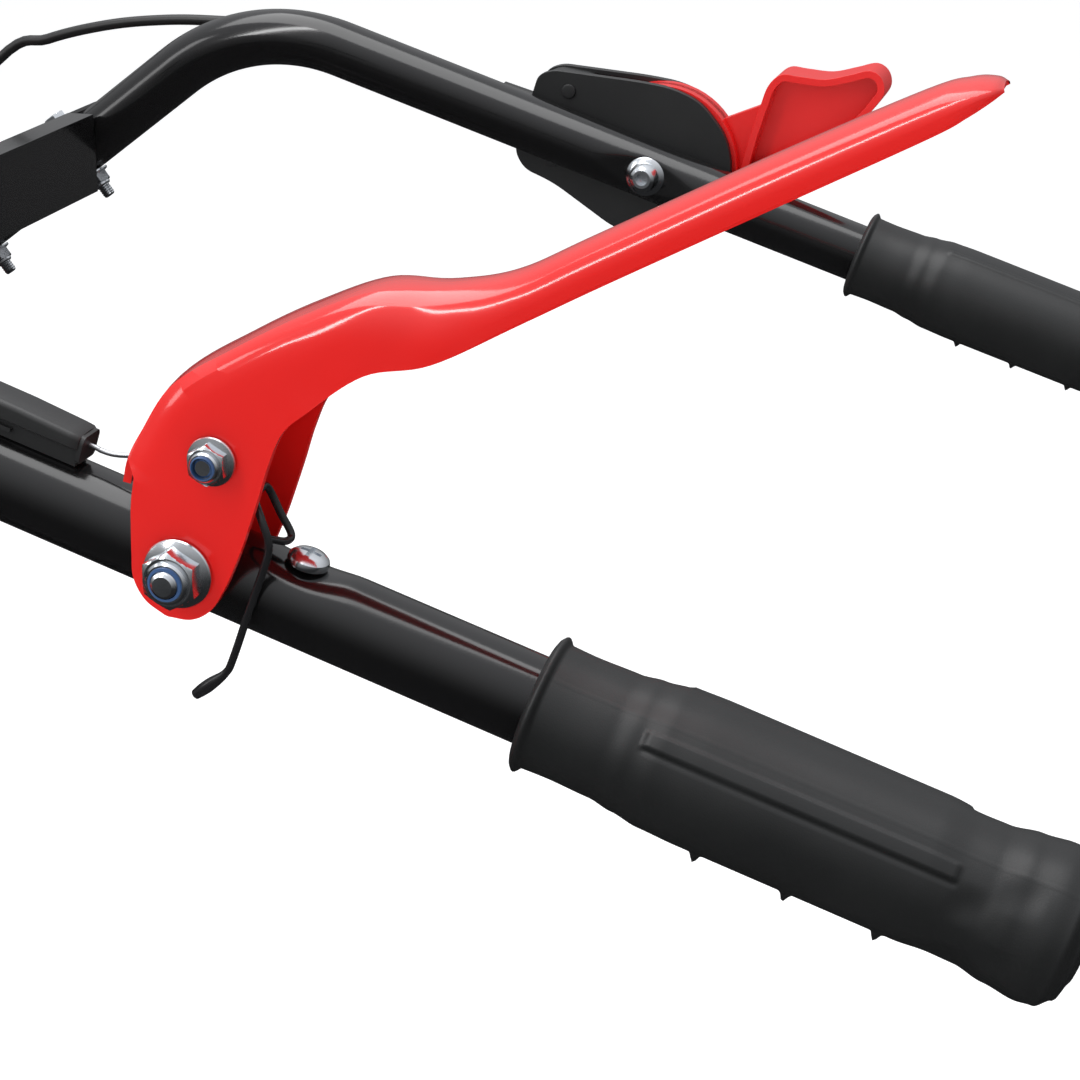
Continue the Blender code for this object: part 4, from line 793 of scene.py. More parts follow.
for u, n in ((-0.048, -0.016), (-0.050, 0.017)):
    shell_parts.append(turned([(0.0, 0.0034), (0.0012, 0.0032), (0.0014, 0.0018)],
                              handle(u, n, INNER - 0.0003), RIGHT, 24, closed=False))
piece("drive_control_case", join(*shell_parts), "black_plastic", "chassis", ["drive_housing"], bevel=0.0007,
      segments=3, sharp=40)

LOW = OUTER + 0.0034
HIGH = INNER - 0.0034
MIDDLE = (LOW + HIGH) / 2
PADDLE = ((36.8, 10.0), (35.6, 26.0), (35.2, 43.0), (35.6, 53.0), (39.5, 59.6), (47.0, 61.6), (58.5, 64.6),
          (68.0, 70.4), (75.6, 75.2), (81.6, 74.0), (85.0, 68.6), (83.6, 61.5), (79.5, 51.0), (74.0, 43.0),
          (65.0, 34.0), (54.0, 24.5), (45.0, 16.5), (40.0, 9.5))
paddle = [(p.x, p.y) for p in smooth_path([(u, n, 0) for u, n in PADDLE], 5)]


def inset(outline, distance):
    """Moves a closed outline inwards by a distance."""
    out = []
    count = len(outline)
    area = sum(outline[i - 1][0] * outline[i][1] - outline[i][0] * outline[i - 1][1] for i in range(count))
    sign = 1 if area > 0 else -1
    for i in range(count):
        before = Vector(outline[i - 1])
        after = Vector(outline[(i + 1) % count])
        along = (after - before).normalized()
        out.append((outline[i][0] - along.y * distance * sign, outline[i][1] + along.x * distance * sign))
    return out


def metres(outline):
    return [(u / 1000, n / 1000) for u, n in outline]


def ring_prism(outline, wall, low, high):
    return hollow_prism(metres(outline), metres(inset(outline, wall)), handle, low, high)


def flat_prism(outline, low, high):
    return prism(metres(outline), handle, low, high)


hub = arc((0, 0), 36.0, 0, 354, 59)
web_panel = [(20.0, 29.0), (34.0, 41.0), (37.0, 41.5), (39.0, 12.0), (34.0, -12.0), (22.0, 8.0)]
lever_parts = [flat_prism(hub, LOW + 0.0040, HIGH - 0.0040), ring_prism(hub, 3.0, LOW, HIGH),
               flat_prism(web_panel, MIDDLE - 0.0022, MIDDLE + 0.0022),
               ring_prism(paddle, 3.2, MIDDLE - 0.0105, MIDDLE + 0.0105),
               flat_prism(inset(paddle, 1.6), MIDDLE - 0.0022, MIDDLE + 0.0022)]
piece("drive_paddle", join(*lever_parts), "red_plastic", "drive_lever", ["drive_lever"], bevel=0.0009,
      segments=3, sharp=40)

head = handle(0, 0, -HALF + TUBE_R - 0.0024)
stack = 2 * TUBE_R - 0.0024 + 0.0190 + 0.0010
fastener("drive_pivot_bolt", head, head - RIGHT * (stack + 0.0110), 0.0050, 0.0130, stack, 0.0088, 0.0072,
         0.0080, "chassis", ["drive_lever_bolt"], socket=True)


# ---------------------------------------------------------------- cables held along their routes
def cable(name, route, radius, node):
    piece(name, rod(smooth_path(route, 7), radius, 24), "cable_sheath", "chassis", [node])


x = HALF
cable("clutch_cable_sheath",
      [handle(-0.0900, 0.0180, x), handle(-0.1200, 0.0180, x), handle(-0.1600, 0.0190, x),
       lower(0.0300, 0.0240, x), lower(0.0700, 0.0290, x - 0.003), lower(0.0950, 0.0360, x - 0.012),
       lower(0.1400, 0.0420, x - 0.032), lower(0.2300, 0.0360, x - 0.060), lower(0.2800, 0.0160, x - 0.073),
       Vector((0.145, 0.050, 0.640)), Vector((0.122, 0.010, 0.500)), Vector((0.112, -0.004, 0.400)),
       Vector((0.105, -0.020, 0.335))], 0.0025, "clutch_cable")
x = -HALF - TUBE_R - 0.0099
cable("drive_cable_sheath",
      [handle(-0.0565, 0.0040, x), handle(-0.0800, 0.0040, x), handle(-0.1200, 0.0020, x),
       handle(-0.1800, -0.0040, x), handle(-0.2280, -0.0175, x), handle(-0.2570, -0.0285, x),
       handle(-0.2810, -0.0405, x), handle(-0.3050, -0.0560, x), handle(-0.3280, -0.0760, x),
       Vector((x + 0.015, 0.1500, 0.8800)), Vector((x + 0.055, 0.1000, 0.7800)),
       Vector((-0.170, 0.0600, 0.6500)), Vector((-0.135, 0.0250, 0.5000)),
       Vector((-0.120, 0.0020, 0.4000)), Vector((-0.112, -0.0200, 0.3350))], 0.0025, "drive_cable")

# ---------------------------------------------------------------- console
T = 0.0020
LIFT = TUBE_R + 0.0004
START = 0.1010
END = 0.2450
half_in = HALF - TUBE_R - 0.0004
over_a = lower(START, LIFT + T, 0)
over_b = lower(END, LIFT + T, 0)
under_a = lower(START, LIFT, 0)
under_b = lower(END, LIFT, 0)
ledge_y = over_a.y + 0.0130
foot_z = over_a.z - 0.0370
fold = [(over_a.y, over_a.z), (ledge_y, over_a.z), (ledge_y, foot_z), (ledge_y - T, foot_z),
        (ledge_y - T, over_a.z - T), (under_a.y, over_a.z - T), (under_b.y, under_b.z), (over_b.y, over_b.z)]
lip_y = under_b.y + 0.0030
lip = prism([(lip_y, under_b.z + 0.0035), (lip_y, under_b.z - 0.030), (lip_y - T, under_b.z - 0.030),
             (lip_y - T, under_b.z + 0.0015)], in_x, -half_in + 0.036, half_in - 0.036)
wide = prism([(under_a.y, under_a.z), (over_a.y, over_a.z), (over_b.y, over_b.z), (under_b.y, under_b.z)],
             in_x, -HALF - 0.0165, HALF + 0.0165)
along = (CRANK_TOP - CRANK_FOOT).normalized()
crank_hole = rod([CRANK_TOP - along * 0.18, CRANK_TOP + along * 0.06], 0.0078, 32)
gate_at = (lower(0.125, LIFT, 0) + lower(0.215, LIFT, 0)) / 2
gate = slab(gate_at, RIGHT * 0.0060, LOWER_DIR * 0.0450, LOWER_UP * 0.012)
panel = [cut(prism(fold, in_x, -half_in, half_in), crank_hole.copy(), gate.copy()), lip,
         cut(wide, crank_hole, gate)]
notches = [slab(lower(0.130 + 0.0165 * k, LIFT + T + 0.0003, -0.0125), RIGHT * 0.0045, LOWER_DIR * 0.0008,
                LOWER_UP * 0.0004) for k in range(6)]
frame_ring = skin([[lower(0.170, LIFT + T + rise, 0) + RIGHT * a + LOWER_DIR * b
                    for a, b in rounded(corners((-w, -h), (w, h)), 0.004)]
                   for w, h, rise in ((0.0200, 0.0560, 0.0), (0.0190, 0.0550, 0.0016),
                                      (0.0078, 0.0470, 0.0016), (0.0078, 0.0470, 0.0))], closed=True)
piece("console_sheet", join(*panel), "black_powder_coat", "chassis", ["console_panel"], bevel=0.0005)
piece("shift_gate", join(frame_ring, *notches), "black_plastic", "chassis", bevel=0.0003)
for side, word in SIDES:
    for number, s in enumerate((0.116, 0.186), 1):
        top = TUBE_R + 0.0028
        stack = top + TUBE_R + 0.0004
        fastener("panel_bolt_%s_%d" % (word, number), lower(s, top, side * HALF),
                 lower(s, top - stack - 0.013, side * HALF), 0.0030, 0.0100, stack, 0.0070, 0.0045, 0.0060,
                 "chassis", ["console_bolt_%s_%d" % (word, number)], ring=False)
    for number, s in enumerate((0.215, 0.262), 1):
        out = lower(s, 0, side * (HALF + TUBE_R))
        fastener("handle_bolt_%s_%d" % (word, number), out, out - RIGHT * (side * (4 * TUBE_R + 0.0125)),
                 0.0040, 0.0130, 4 * TUBE_R + 0.0004, 0.0088, 0.0050, 0.0065, "chassis")

# ---------------------------------------------------------------- speed selector and chute crank
foot = lower(0.170, -0.030, 0)
knob = [(0.0, 0.0075), (0.003, 0.0105), (0.012, 0.0138), (0.022, 0.0152), (0.030, 0.0148), (0.036, 0.0122),
        (0.0385, 0.0080), (0.0390, 0.0020)]
knob_base = lower(0.170, 0.112, 0)
ribs = [slab(knob_base + LOWER_UP * 0.016 + (RIGHT * math.cos(a) + LOWER_DIR * math.sin(a)) * 0.0138,
             (RIGHT * math.cos(a) + LOWER_DIR * math.sin(a)) * 0.0012,
             (RIGHT * -math.sin(a) + LOWER_DIR * math.cos(a)) * 0.0006, LOWER_UP * 0.0080)
        for a in turns(20)]
piece("selector_bar", join(rod([foot, lower(0.170, 0.115, 0)], 0.0045, 32),
                           rod([foot - RIGHT * 0.012, foot + RIGHT * 0.012], 0.0080, 32)),
      "black_powder_coat", "shift_lever", ["shift_lever"], bevel=0.0004)
piece("selector_knob", join(turned(knob, knob_base, LOWER_UP, 48, closed=False), *ribs), "black_plastic",
      "shift_lever", bevel=0.0004)

out = (LOWER_UP - along * LOWER_UP.dot(along)).normalized()
back = CRANK_TOP + along * 0.030
arm = back + out * 0.080
tail = arm + along * 0.095
bend_a = [back - along * 0.012, back - along * 0.005, back + out * 0.0015 - along * 0.0015,
          back + out * 0.005, back + out * 0.012]
bend_b = [arm - out * 0.012, arm - out * 0.005, arm - out * 0.0015 + along * 0.0015, arm + along * 0.005,
          arm + along * 0.012]
piece("crank_rod", rod([CRANK_FOOT] + bend_a + bend_b + [tail], 0.0050, 28), "black_powder_coat", "crank",
      ["chute_crank"])
handle_profile = [(0.0, 0.0062), (0.0015, 0.0086), (0.010, 0.0108), (0.040, 0.0116), (0.066, 0.0112),
                  (0.080, 0.0096), (0.0835, 0.0070), (0.0845, 0.0020)]
piece("crank_handle", turned(handle_profile, arm + along * 0.015, along, 48, closed=False), "black_plastic",
      "crank", bevel=0.0004)


def worm():
    """The screw that turns the chute's ring."""
    side, up = across(along)[1:]
    rings = []
    for k in range(97):
        share = k / 96
        at = CRANK_FOOT + along * (-0.020 + 0.040 * share)
        ring = []
        for a in turns(40):
            phase = (share * 0.040 / 0.0080 - a / (2 * math.pi)) % 1.0
            tooth = max(0.0, 1 - abs(phase - 0.5) * 3.6)
            fade = min(share / 0.08, (1 - share) / 0.08, 1.0)
            r = 0.0115 + 0.0045 * min(tooth * 1.6, 1.0) * fade
            ring.append(at + side * (r * math.cos(a)) + up * (r * math.sin(a)))
        rings.append(ring)
    return skin(rings)


piece("crank_worm", worm(), "black_plastic", "crank")

# ---------------------------------------------------------------- tractor frame and drive
F_HALF = 0.1500
F_FRONT = -0.3560
F_BACK = -0.0100
F_LOW = 0.1000
DECK_FRONT = -0.2940
WALL = 0.0030
SHAFT_Y = AXLE_Y + 0.075       # the cross shaft that carries the friction wheel
SHAFT_Z = 0.2150


def soft_box(low, high, radius):
    """A box whose four upright corners are rounded."""
    return prism(rounded(corners(low, high), radius, 6), in_z, low[2], high[2])


deck = cut(box((-F_HALF, F_FRONT, F_LOW), (F_HALF, F_BACK, FRAME_TOP)),
           box((-F_HALF + WALL, F_FRONT - 0.05, F_LOW - 0.05),
               (F_HALF - WALL, F_BACK - WALL, FRAME_TOP - WALL)),
           box((-F_HALF - 0.01, F_FRONT - 0.01, FRAME_TOP - 0.050),
               (F_HALF + 0.01, DECK_FRONT, FRAME_TOP + 0.01)),
           rod([(-0.3, AXLE_Y, WHEEL_R), (0.3, AXLE_Y, WHEEL_R)], 0.0104, 40),
           rod([(-0.3, SHAFT_Y, SHAFT_Z), (0.3, SHAFT_Y, SHAFT_Z)], 0.0084, 32),
           rod([(0.105, -0.020, FRAME_TOP - 0.02), (0.105, -0.020, FRAME_TOP + 0.02)], 0.0045, 24),
           rod([(-0.112, -0.020, FRAME_TOP - 0.02), (-0.112, -0.020, FRAME_TOP + 0.02)], 0.0045, 24))
piece("tractor_frame", deck, "black_powder_coat", "chassis", ["frame"], bevel=0.0012, segments=3)
for side, word in SIDES:
    out = RIGHT * side
    plate = prism(rounded(corners((-0.028, -0.028), (0.028, 0.028)), 0.012),
                  lambda a, b, d: Vector((d, AXLE_Y + a, WHEEL_R + b)), side * F_HALF,
                  side * (F_HALF + 0.0035))
    bearing = cut(join(plate, turned([(0.0030, 0.0190), (0.0080, 0.0175), (0.0085, 0.0150), (0.0085, 0.0108),
                                      (0.0030, 0.0108)], (side * F_HALF, AXLE_Y, WHEEL_R), out, 40)),
                  rod([(side * 0.14, AXLE_Y, WHEEL_R), (side * 0.17, AXLE_Y, WHEEL_R)], 0.0106, 40))
    piece("axle_bearing_" + word, bearing, "bare_steel", "chassis", bevel=0.0005)
    spots = [(side * (F_HALF + 0.0035), AXLE_Y + a, WHEEL_R + b)
             for a in (-0.021, 0.021) for b in (-0.021, 0.021)]
    spots += [(side * F_HALF, y, z) for y, z in ((-0.335, 0.300 - 0.05), (-0.335, 0.125), (-0.030, 0.125),
                                                 (-0.030, 0.225), (-0.100, 0.310), (-0.240, 0.310))]
    screw_row("frame_screws_" + word, spots, out, 0.0062, "chassis")
    screw_row("handle_foot_bolts_" + word,
              [(side * (FOOT_X + TUBE_R), -0.0330, z) for z in (0.300, 0.345)], out, 0.0080, "chassis")

cover_low = FRAME_TOP - 0.048
cover_line = [(-0.100, cover_low), (0.100, cover_low), (0.100, 0.345)]
cover_line += arc((0.0, ENGINE_Z), 0.086, 20, 160, 30)
cover_line += [(-0.100, 0.345)]
cover_in = [(a * 0.972, ENGINE_Z + (b - ENGINE_Z) * 0.972 if b > cover_low + 0.001 else cover_low - 0.02)
            for a, b in cover_line]
guard = cut(prism(cover_line, in_y, F_FRONT + 0.0005, DECK_FRONT - 0.0004),
            prism(cover_in, in_y, F_FRONT + 0.0030, DECK_FRONT + 0.01))
louvres = [slab((0, F_FRONT + 0.0004, 0.400 + 0.013 * k), RIGHT * (0.050 - 0.003 * abs(k - 3)),
                Vector((0, 0.0012, 0)), UP * 0.0030) for k in range(8)]
bead = [(a * 0.90, ENGINE_Z - 0.006 + (b - ENGINE_Z) * 0.88) for a, b in cover_line]
bead_in = [(a * 0.86, ENGINE_Z - 0.006 + (b - ENGINE_Z) * 0.84) for a, b in cover_line]
rim_y = F_FRONT + 0.0001
ridge = hollow_prism(bead, bead_in, in_y, rim_y + 0.001, rim_y)
piece("belt_guard", join(guard, ridge), "black_plastic", "chassis", ["belt_cover"], bevel=0.0022, segments=4)
piece("belt_guard_louvres", join(*louvres), "black_plastic", "chassis", bevel=0.0005)
screw_row("belt_guard_screws",
          [(x, F_FRONT + 0.0005, z) for x, z in ((-0.088, 0.300), (0.088, 0.300), (0, 0.521))],
          FRONT, 0.0060, "chassis")

piece("wheel_axle", turned([(-0.305, 0.0085), (-0.3035, 0.0100), (0.3035, 0.0100), (0.305, 0.0085)],
                           (0, AXLE_Y, WHEEL_R), RIGHT, 48, closed=False), "bare_steel", "wheels", ["axle"])
for side, word in SIDES:
    centre = Vector((side * WHEEL_X, AXLE_Y, WHEEL_R))
    out = RIGHT * side
    body_line = [(-0.042, 0.0860), (-0.0455, 0.0900), (-0.0485, 0.1000), (-0.0500, 0.1160), (-0.0490, 0.1330),
                 (-0.0450, 0.1480), (-0.0380, 0.1545), (-0.0200, 0.1570), (0.0200, 0.1570), (0.0380, 0.1545),
                 (0.0450, 0.1480), (0.0490, 0.1330), (0.0500, 0.1160), (0.0485, 0.1000), (0.0455, 0.0900),
                 (0.042, 0.0860)]
    tread = [turned(body_line, centre, RIGHT, 120)]
    for k in range(20):
        for row in (1, -1):
            angle = 2 * math.pi * (k + (0.5 if row < 0 else 0.0)) / 20
            lug_rings = []
            for share in (0.0, 0.2, 0.45, 0.72, 0.90, 1.0):
                reach = share * 0.0480
                sweep = angle + 0.19 * share
                drop = 0.0 if share < 0.75 else (share - 0.75) * 0.042
                lug = []
                for da, r in ((-0.034, 0.1540), (-0.026, 0.1648), (0.026, 0.1648), (0.034, 0.1540)):
                    a = sweep + da
                    radial = Vector((0, math.cos(a), math.sin(a)))
                    lug.append(centre + RIGHT * (row * (0.0015 + reach)) + radial * (r - drop))
                lug_rings.append(lug)
            tread.append(skin(lug_rings))
    for r in (0.1020, 0.1260):
        for s in (1, -1):
            edge_x = 0.0490 if r < 0.11 else 0.0494
            tread.append(turned([(s * edge_x - 0.0012, r - 0.0012), (s * edge_x - 0.0012, r + 0.0012),
                                 (s * edge_x + 0.0009, r + 0.0006), (s * edge_x + 0.0009, r - 0.0006)],
                                centre, RIGHT, 96))
    piece("tyre_tread_" + word, join(*tread), "tyre_rubber", "wheels", ["tyre_" + word], bevel=0.0007,
          sharp=40)
    r0 = 0.0857
    rim_line = [(-0.0400, 0.0104), (-0.0400, 0.0215), (-0.0110, 0.0220), (-0.0075, 0.0300), (0.0020, 0.0400),
                (0.0045, 0.0500), (-0.0020, 0.0600), (-0.0075, 0.0700), (-0.0090, r0 - 0.0115),
                (-0.0300, r0 - 0.0095), (-0.0405, r0 - 0.0050), (-0.0425, r0), (-0.0395, r0 + 0.0004),
                (0.0395, r0 + 0.0004), (0.0425, r0), (0.0405, r0 - 0.0050), (0.0300, r0 - 0.0095),
                (-0.0050, r0 - 0.0120), (-0.0035, 0.0700), (0.0020, 0.0600), (0.0085, 0.0500),
                (0.0060, 0.0400), (-0.0035, 0.0300), (-0.0070, 0.0220), (0.0400, 0.0215), (0.0400, 0.0104)]
    disc = turned([(a * side, r) for a, r in rim_line], centre, RIGHT, 96)
    holes = []
    for a in turns(8):
        at = centre + Vector((0, math.cos(a), math.sin(a))) * 0.0640
        holes.append(rod([at - RIGHT * 0.03, at + RIGHT * 0.03], 0.0075, 32))
    piece("wheel_rim_" + word, cut(disc, join(*holes)), "housing_paint", "wheels", ["rim_" + word],
          bevel=0.0006)
    pin_at = centre + out * 0.030
    klick = turned([(-0.0260, 0.0022), (-0.0265, 0.0030), (-0.030, 0.0030), (-0.030, 0.0024)], pin_at, UP, 24,
                   closed=False)
    shaft_pin = rod([pin_at - UP * 0.0270, pin_at + UP * 0.0270], 0.0030, 24)
    loop = rod([pin_at + Vector((0, 0.011 * math.sin(t), 0.0245 * math.cos(t))) + out * 0.0045
                for t in [math.pi * k / 16 for k in range(17)]], 0.0011, 12)
    piece("hub_pin_" + word, join(shaft_pin, klick, loop), "zinc_plate", "wheels")
    valve_at = centre + Vector((0, 0.0, 0.0700))
    piece("valve_" + word, turned([(0.0, 0.0042), (0.010, 0.0038), (0.012, 0.0030), (0.022, 0.0030),
                                   (0.023, 0.0022)],
                                  valve_at + out * 0.002, out, 24, closed=False), "black_plastic", "wheels")

disc_at = Vector((0.030, SHAFT_Y, SHAFT_Z))
tyre_disc = turned([(-0.006, 0.0440), (-0.006, 0.0485), (-0.0050, 0.0500), (0.0050, 0.0500), (0.006, 0.0485),
                    (0.006, 0.0440)], disc_at, RIGHT, 72)
piece("friction_tyre", join(tyre_disc, turned([(-0.0042, 0.0080), (-0.0042, 0.0442), (0.0042, 0.0442),
                                               (0.0042, 0.0080)], disc_at, RIGHT, 72)),
      "belt_rubber", "friction_wheel", ["friction_wheel"], bevel=0.0004)
cross_shaft = circle_points(Vector((-0.160, SHAFT_Y, SHAFT_Z)), REAR, UP, 0.0080, 6)
shaft_bm = skin([cross_shaft, [p + RIGHT * 0.320 for p in cross_shaft]])
teeth = [(0.0220 if k % 4 in (1, 2) else 0.0185, a) for k, a in enumerate(turns(56))]
gear = skin([[Vector((x, SHAFT_Y + r * math.cos(a), SHAFT_Z + r * math.sin(a))) for r, a in teeth]
             for x in (-0.117, -0.103)])
piece("cross_shaft", join(shaft_bm, gear), "bare_steel", "friction_wheel", bevel=0.0003)
plate_y = SHAFT_Y - 0.052
piece("friction_plate",
      join(turned([(-0.006, 0.0535), (-0.0055, 0.055), (-0.0015, 0.055), (-0.001, 0.0535)],
                  (0, plate_y, SHAFT_Z), REAR, 80, closed=False),
           rod([(0, plate_y - 0.086, SHAFT_Z), (0, plate_y - 0.003, SHAFT_Z)], 0.0080, 32),
           turned([(-0.080, 0.036), (-0.079, 0.038), (-0.077, 0.038), (-0.073, 0.031), (-0.069, 0.038),
                   (-0.067, 0.038), (-0.066, 0.036)], (0, plate_y, SHAFT_Z), REAR, 64, closed=False)),
      "bare_steel", "drive_plate", ["drive_plate"])

# ---------------------------------------------------------------- engine
BASE = FRAME_TOP + 0.0004
block_parts = [box((-0.085, ENGINE_FRONT, BASE), (0.085, ENGINE_BACK, 0.505))]
block_parts.append(box((0.060, ENGINE_FRONT + 0.015, 0.430), (0.078, ENGINE_BACK - 0.015, 0.548)))
block_parts.append(box((-0.035, ENGINE_FRONT + 0.025, 0.490), (0.050, ENGINE_BACK - 0.025, 0.588)))
for side in (1, -1):
    for k in range(7):
        block_parts.append(box((side * 0.085 - 0.0015, ENGINE_FRONT + 0.020 + 0.018 * k - 0.0015,
                                BASE + 0.004),
                               (side * 0.085 + 0.0010, ENGINE_FRONT + 0.020 + 0.018 * k + 0.0015, 0.470)))
block_parts.append(turned([(0.0, 0.052), (0.0080, 0.050), (0.0090, 0.046)],
                          (0, ENGINE_FRONT + 0.001, ENGINE_Z), FRONT, 64, closed=False))
piece("crankcase", join(*block_parts), "cast_aluminium", "chassis", ["engine_block"], bevel=0.0045,
      segments=3)
fins = []
for k in range(9):
    z = 0.5065 + 0.0082 * k
    grow = 0.004 * math.sin(math.pi * k / 8)
    fins.append(soft_box((-0.050 - grow, ENGINE_FRONT + 0.008, z), (0.0685, ENGINE_BACK - 0.008, z + 0.0030),
                         0.012))
piece("cooling_fins", join(*fins), "cast_aluminium", "chassis", bevel=0.0007)
screw_row("crankcase_screws", [(0.070 * math.cos(a), ENGINE_FRONT, ENGINE_Z - 0.02 + 0.055 * math.sin(a))
                               for a in [math.pi * (0.1 + 0.2 * k) for k in range(5)]], FRONT, 0.0065,
          "chassis")
plug = Vector((-0.035, ENGINE_FRONT + 0.075, 0.560))
piece("spark_plug_boot", rod(smooth_path([plug, plug + Vector((-0.018, 0, 0.004)),
                                          plug + Vector((-0.034, 0, -0.004)),
                                          plug + Vector((-0.038, 0, -0.022))], 6),
                             [0.0085] * 6 + [0.0080] * 6 + [0.0065] * 6 + [0.0055], 28), "black_plastic",
      "chassis")
piece("oil_filler", join(turned([(0.0, 0.0130), (0.010, 0.0130), (0.011, 0.0115)],
                                (-0.0700, ENGINE_BACK - 0.002, 0.352), REAR, 36, closed=False),
                         slab((-0.0700, ENGINE_BACK + 0.0135, 0.352), RIGHT * 0.0100, Vector((0, 0.005, 0)),
                              UP * 0.0022)), "red_plastic", "chassis", bevel=0.0008)

hub_at = Vector((0, ENGINE_BACK + 0.0020, ENGINE_Z))
dome = [(0.0, 0.112), (0.030, 0.1105), (0.044, 0.1040), (0.053, 0.0920), (0.0585, 0.0760), (0.062, 0.0560),
        (0.062, 0.022)]
inner = [(0.0595, 0.022), (0.0595, 0.0545), (0.056, 0.0745), (0.0508, 0.0900), (0.0420, 0.1015),
         (0.029, 0.1075), (0.0, 0.109)]
cowl = turned(dome + inner, hub_at, REAR, 96)
slots = []
for k, a in enumerate(turns(24)):
    radial, around = spoke(a)
    slots.append(slab(hub_at + radial * 0.0400 + Vector((0, 0.061, 0)), radial * 0.0120, around * 0.0019,
                      Vector((0, 0.012, 0))))
    if k % 2 == 0:
        slots.append(slab(hub_at + radial * 0.1000 + Vector((0, 0.024, 0)), radial * 0.0300, around * 0.0055,
                          Vector((0, 0.0035, 0))))
piece("recoil_cowl", cut(cowl, join(*slots)), "black_plastic", "chassis", ["recoil_cover"], bevel=0.0008)
piece("recoil_hub", turned([(0.0560, 0.0005), (0.0560, 0.0225), (0.0635, 0.0225), (0.0650, 0.0205),
                            (0.0655, 0.0005)],
                           hub_at, REAR, 64), "red_plastic", "chassis", bevel=0.0004)
fan = []
for a in turns(14):
    radial, around = spoke(a)
    fan.append(slab(hub_at + radial * 0.070 + Vector((0, 0.016, 0)), radial * 0.028, around * 0.0012,
                    Vector((0, 0.013, 0))))
fan.append(turned([(-0.001, 0.098), (0.003, 0.098), (0.003, 0.030)], hub_at, REAR, 64, closed=False))
piece("flywheel_fan", join(*fan), "cast_aluminium", "chassis")
screw_row("cowl_screws", [hub_at + Vector((0.1120 * math.cos(a), 0.012, 0.1120 * math.sin(a)))
                          for a in (0.35, 1.9, 2.8, 4.4)], REAR, 0.0050, "chassis")

grip_at = Vector((0.070, ENGINE_BACK + 0.078, 0.540))
pull = Vector((0.0, 0.86, 0.50)).normalized()
bar = [(-0.032, 0.0040), (-0.0315, 0.0068), (-0.029, 0.0084), (-0.015, 0.0078), (0.0, 0.0085),
       (0.015, 0.0078), (0.029, 0.0084), (0.0315, 0.0068), (0.032, 0.0040)]
piece("starter_handle", join(turned(bar, grip_at, RIGHT, 40, closed=False),
                             turned([(0.0, 0.0082), (0.010, 0.0072), (0.019, 0.0058), (0.020, 0.0044)],
                                    grip_at, -pull,
                                    32, closed=False)), "black_plastic", "recoil_grip", ["recoil_grip"],
      bevel=0.0003)
eye = grip_at - pull * 0.0400
piece("rope_eyelet", turned([(-0.004, 0.0048), (-0.004, 0.0082), (0.0, 0.0092), (0.003, 0.0082),
                             (0.003, 0.0048)],
                            eye, pull, 40), "zinc_plate", "chassis")

tank_low = 0.592
tank_high = 0.680


def rounded_block(low, high, radius):
    """A moulded box with every edge rounded."""
    middle = (Vector(low) + Vector(high)) / 2
    half = (Vector(high) - Vector(low)) / 2
    bm = bmesh.new()
    bmesh.ops.create_cube(bm, size=2.0)
    bmesh.ops.subdivide_edges(bm, edges=bm.edges, cuts=15, use_grid_fill=True)
    for v in bm.verts:
        p = Vector(v.co)
        core = Vector([max(half[i] - radius, 0) for i in range(3)])
        reach = Vector([math.copysign(abs(p[i]) ** 0.6, p[i]) * half[i] for i in range(3)])
        base_point = Vector([min(max(reach[i], -core[i]), core[i]) for i in range(3)])
        direction = reach - base_point
        if direction.length > 1e-9:
            big = max(abs(p.x), abs(p.y), abs(p.z))
            direction = direction.normalized() * radius if big > 0.999 else direction
        v.co = middle + base_point + direction
    bmesh.ops.recalc_face_normals(bm, faces=bm.faces)
    return bm


tank = rounded_block((-0.125, ENGINE_FRONT + 0.010, tank_low), (0.090, ENGINE_BACK, tank_high), 0.018)
seam_in, seam_out = [
    rounded(corners((-0.120 - grow, ENGINE_FRONT + 0.015 - grow),
                    (0.085 + grow, ENGINE_BACK - 0.005 + grow)), 0.018, 6)
    for grow in (0.0, 0.0085)]
seam = hollow_prism(seam_in, seam_out, in_z, 0.634, 0.638)
filler = Vector((-0.070, (ENGINE_FRONT + ENGINE_BACK) / 2, 0.0))
collar = turned([(0.672, 0.0235), (0.681, 0.0215), (0.686, 0.0205)], filler, UP, 48, closed=False)
piece("petrol_tank", join(tank, seam, collar), "black_plastic", "chassis", ["fuel_tank"], bevel=0.0004)
cap_base = filler + UP * 0.6865
cap_parts = [turned([(0.0, 0.0235), (0.0015, 0.0255), (0.0125, 0.0255), (0.0160, 0.0232), (0.0170, 0.0195),
                     (0.0165, 0.0120), (0.0168, 0.0010)], cap_base, UP, 72, closed=False)]
for a in turns(24):
    radial = Vector((math.cos(a), math.sin(a), 0))
    cap_parts.append(slab(cap_base + radial * 0.0253 + UP * 0.0068, radial * 0.0012,
                          Vector((-math.sin(a), math.cos(a), 0)) * 0.0011, UP * 0.0055))
piece("petrol_cap", join(*cap_parts), "black_plastic", "fuel_cap", ["fuel_cap"], bevel=0.0004)

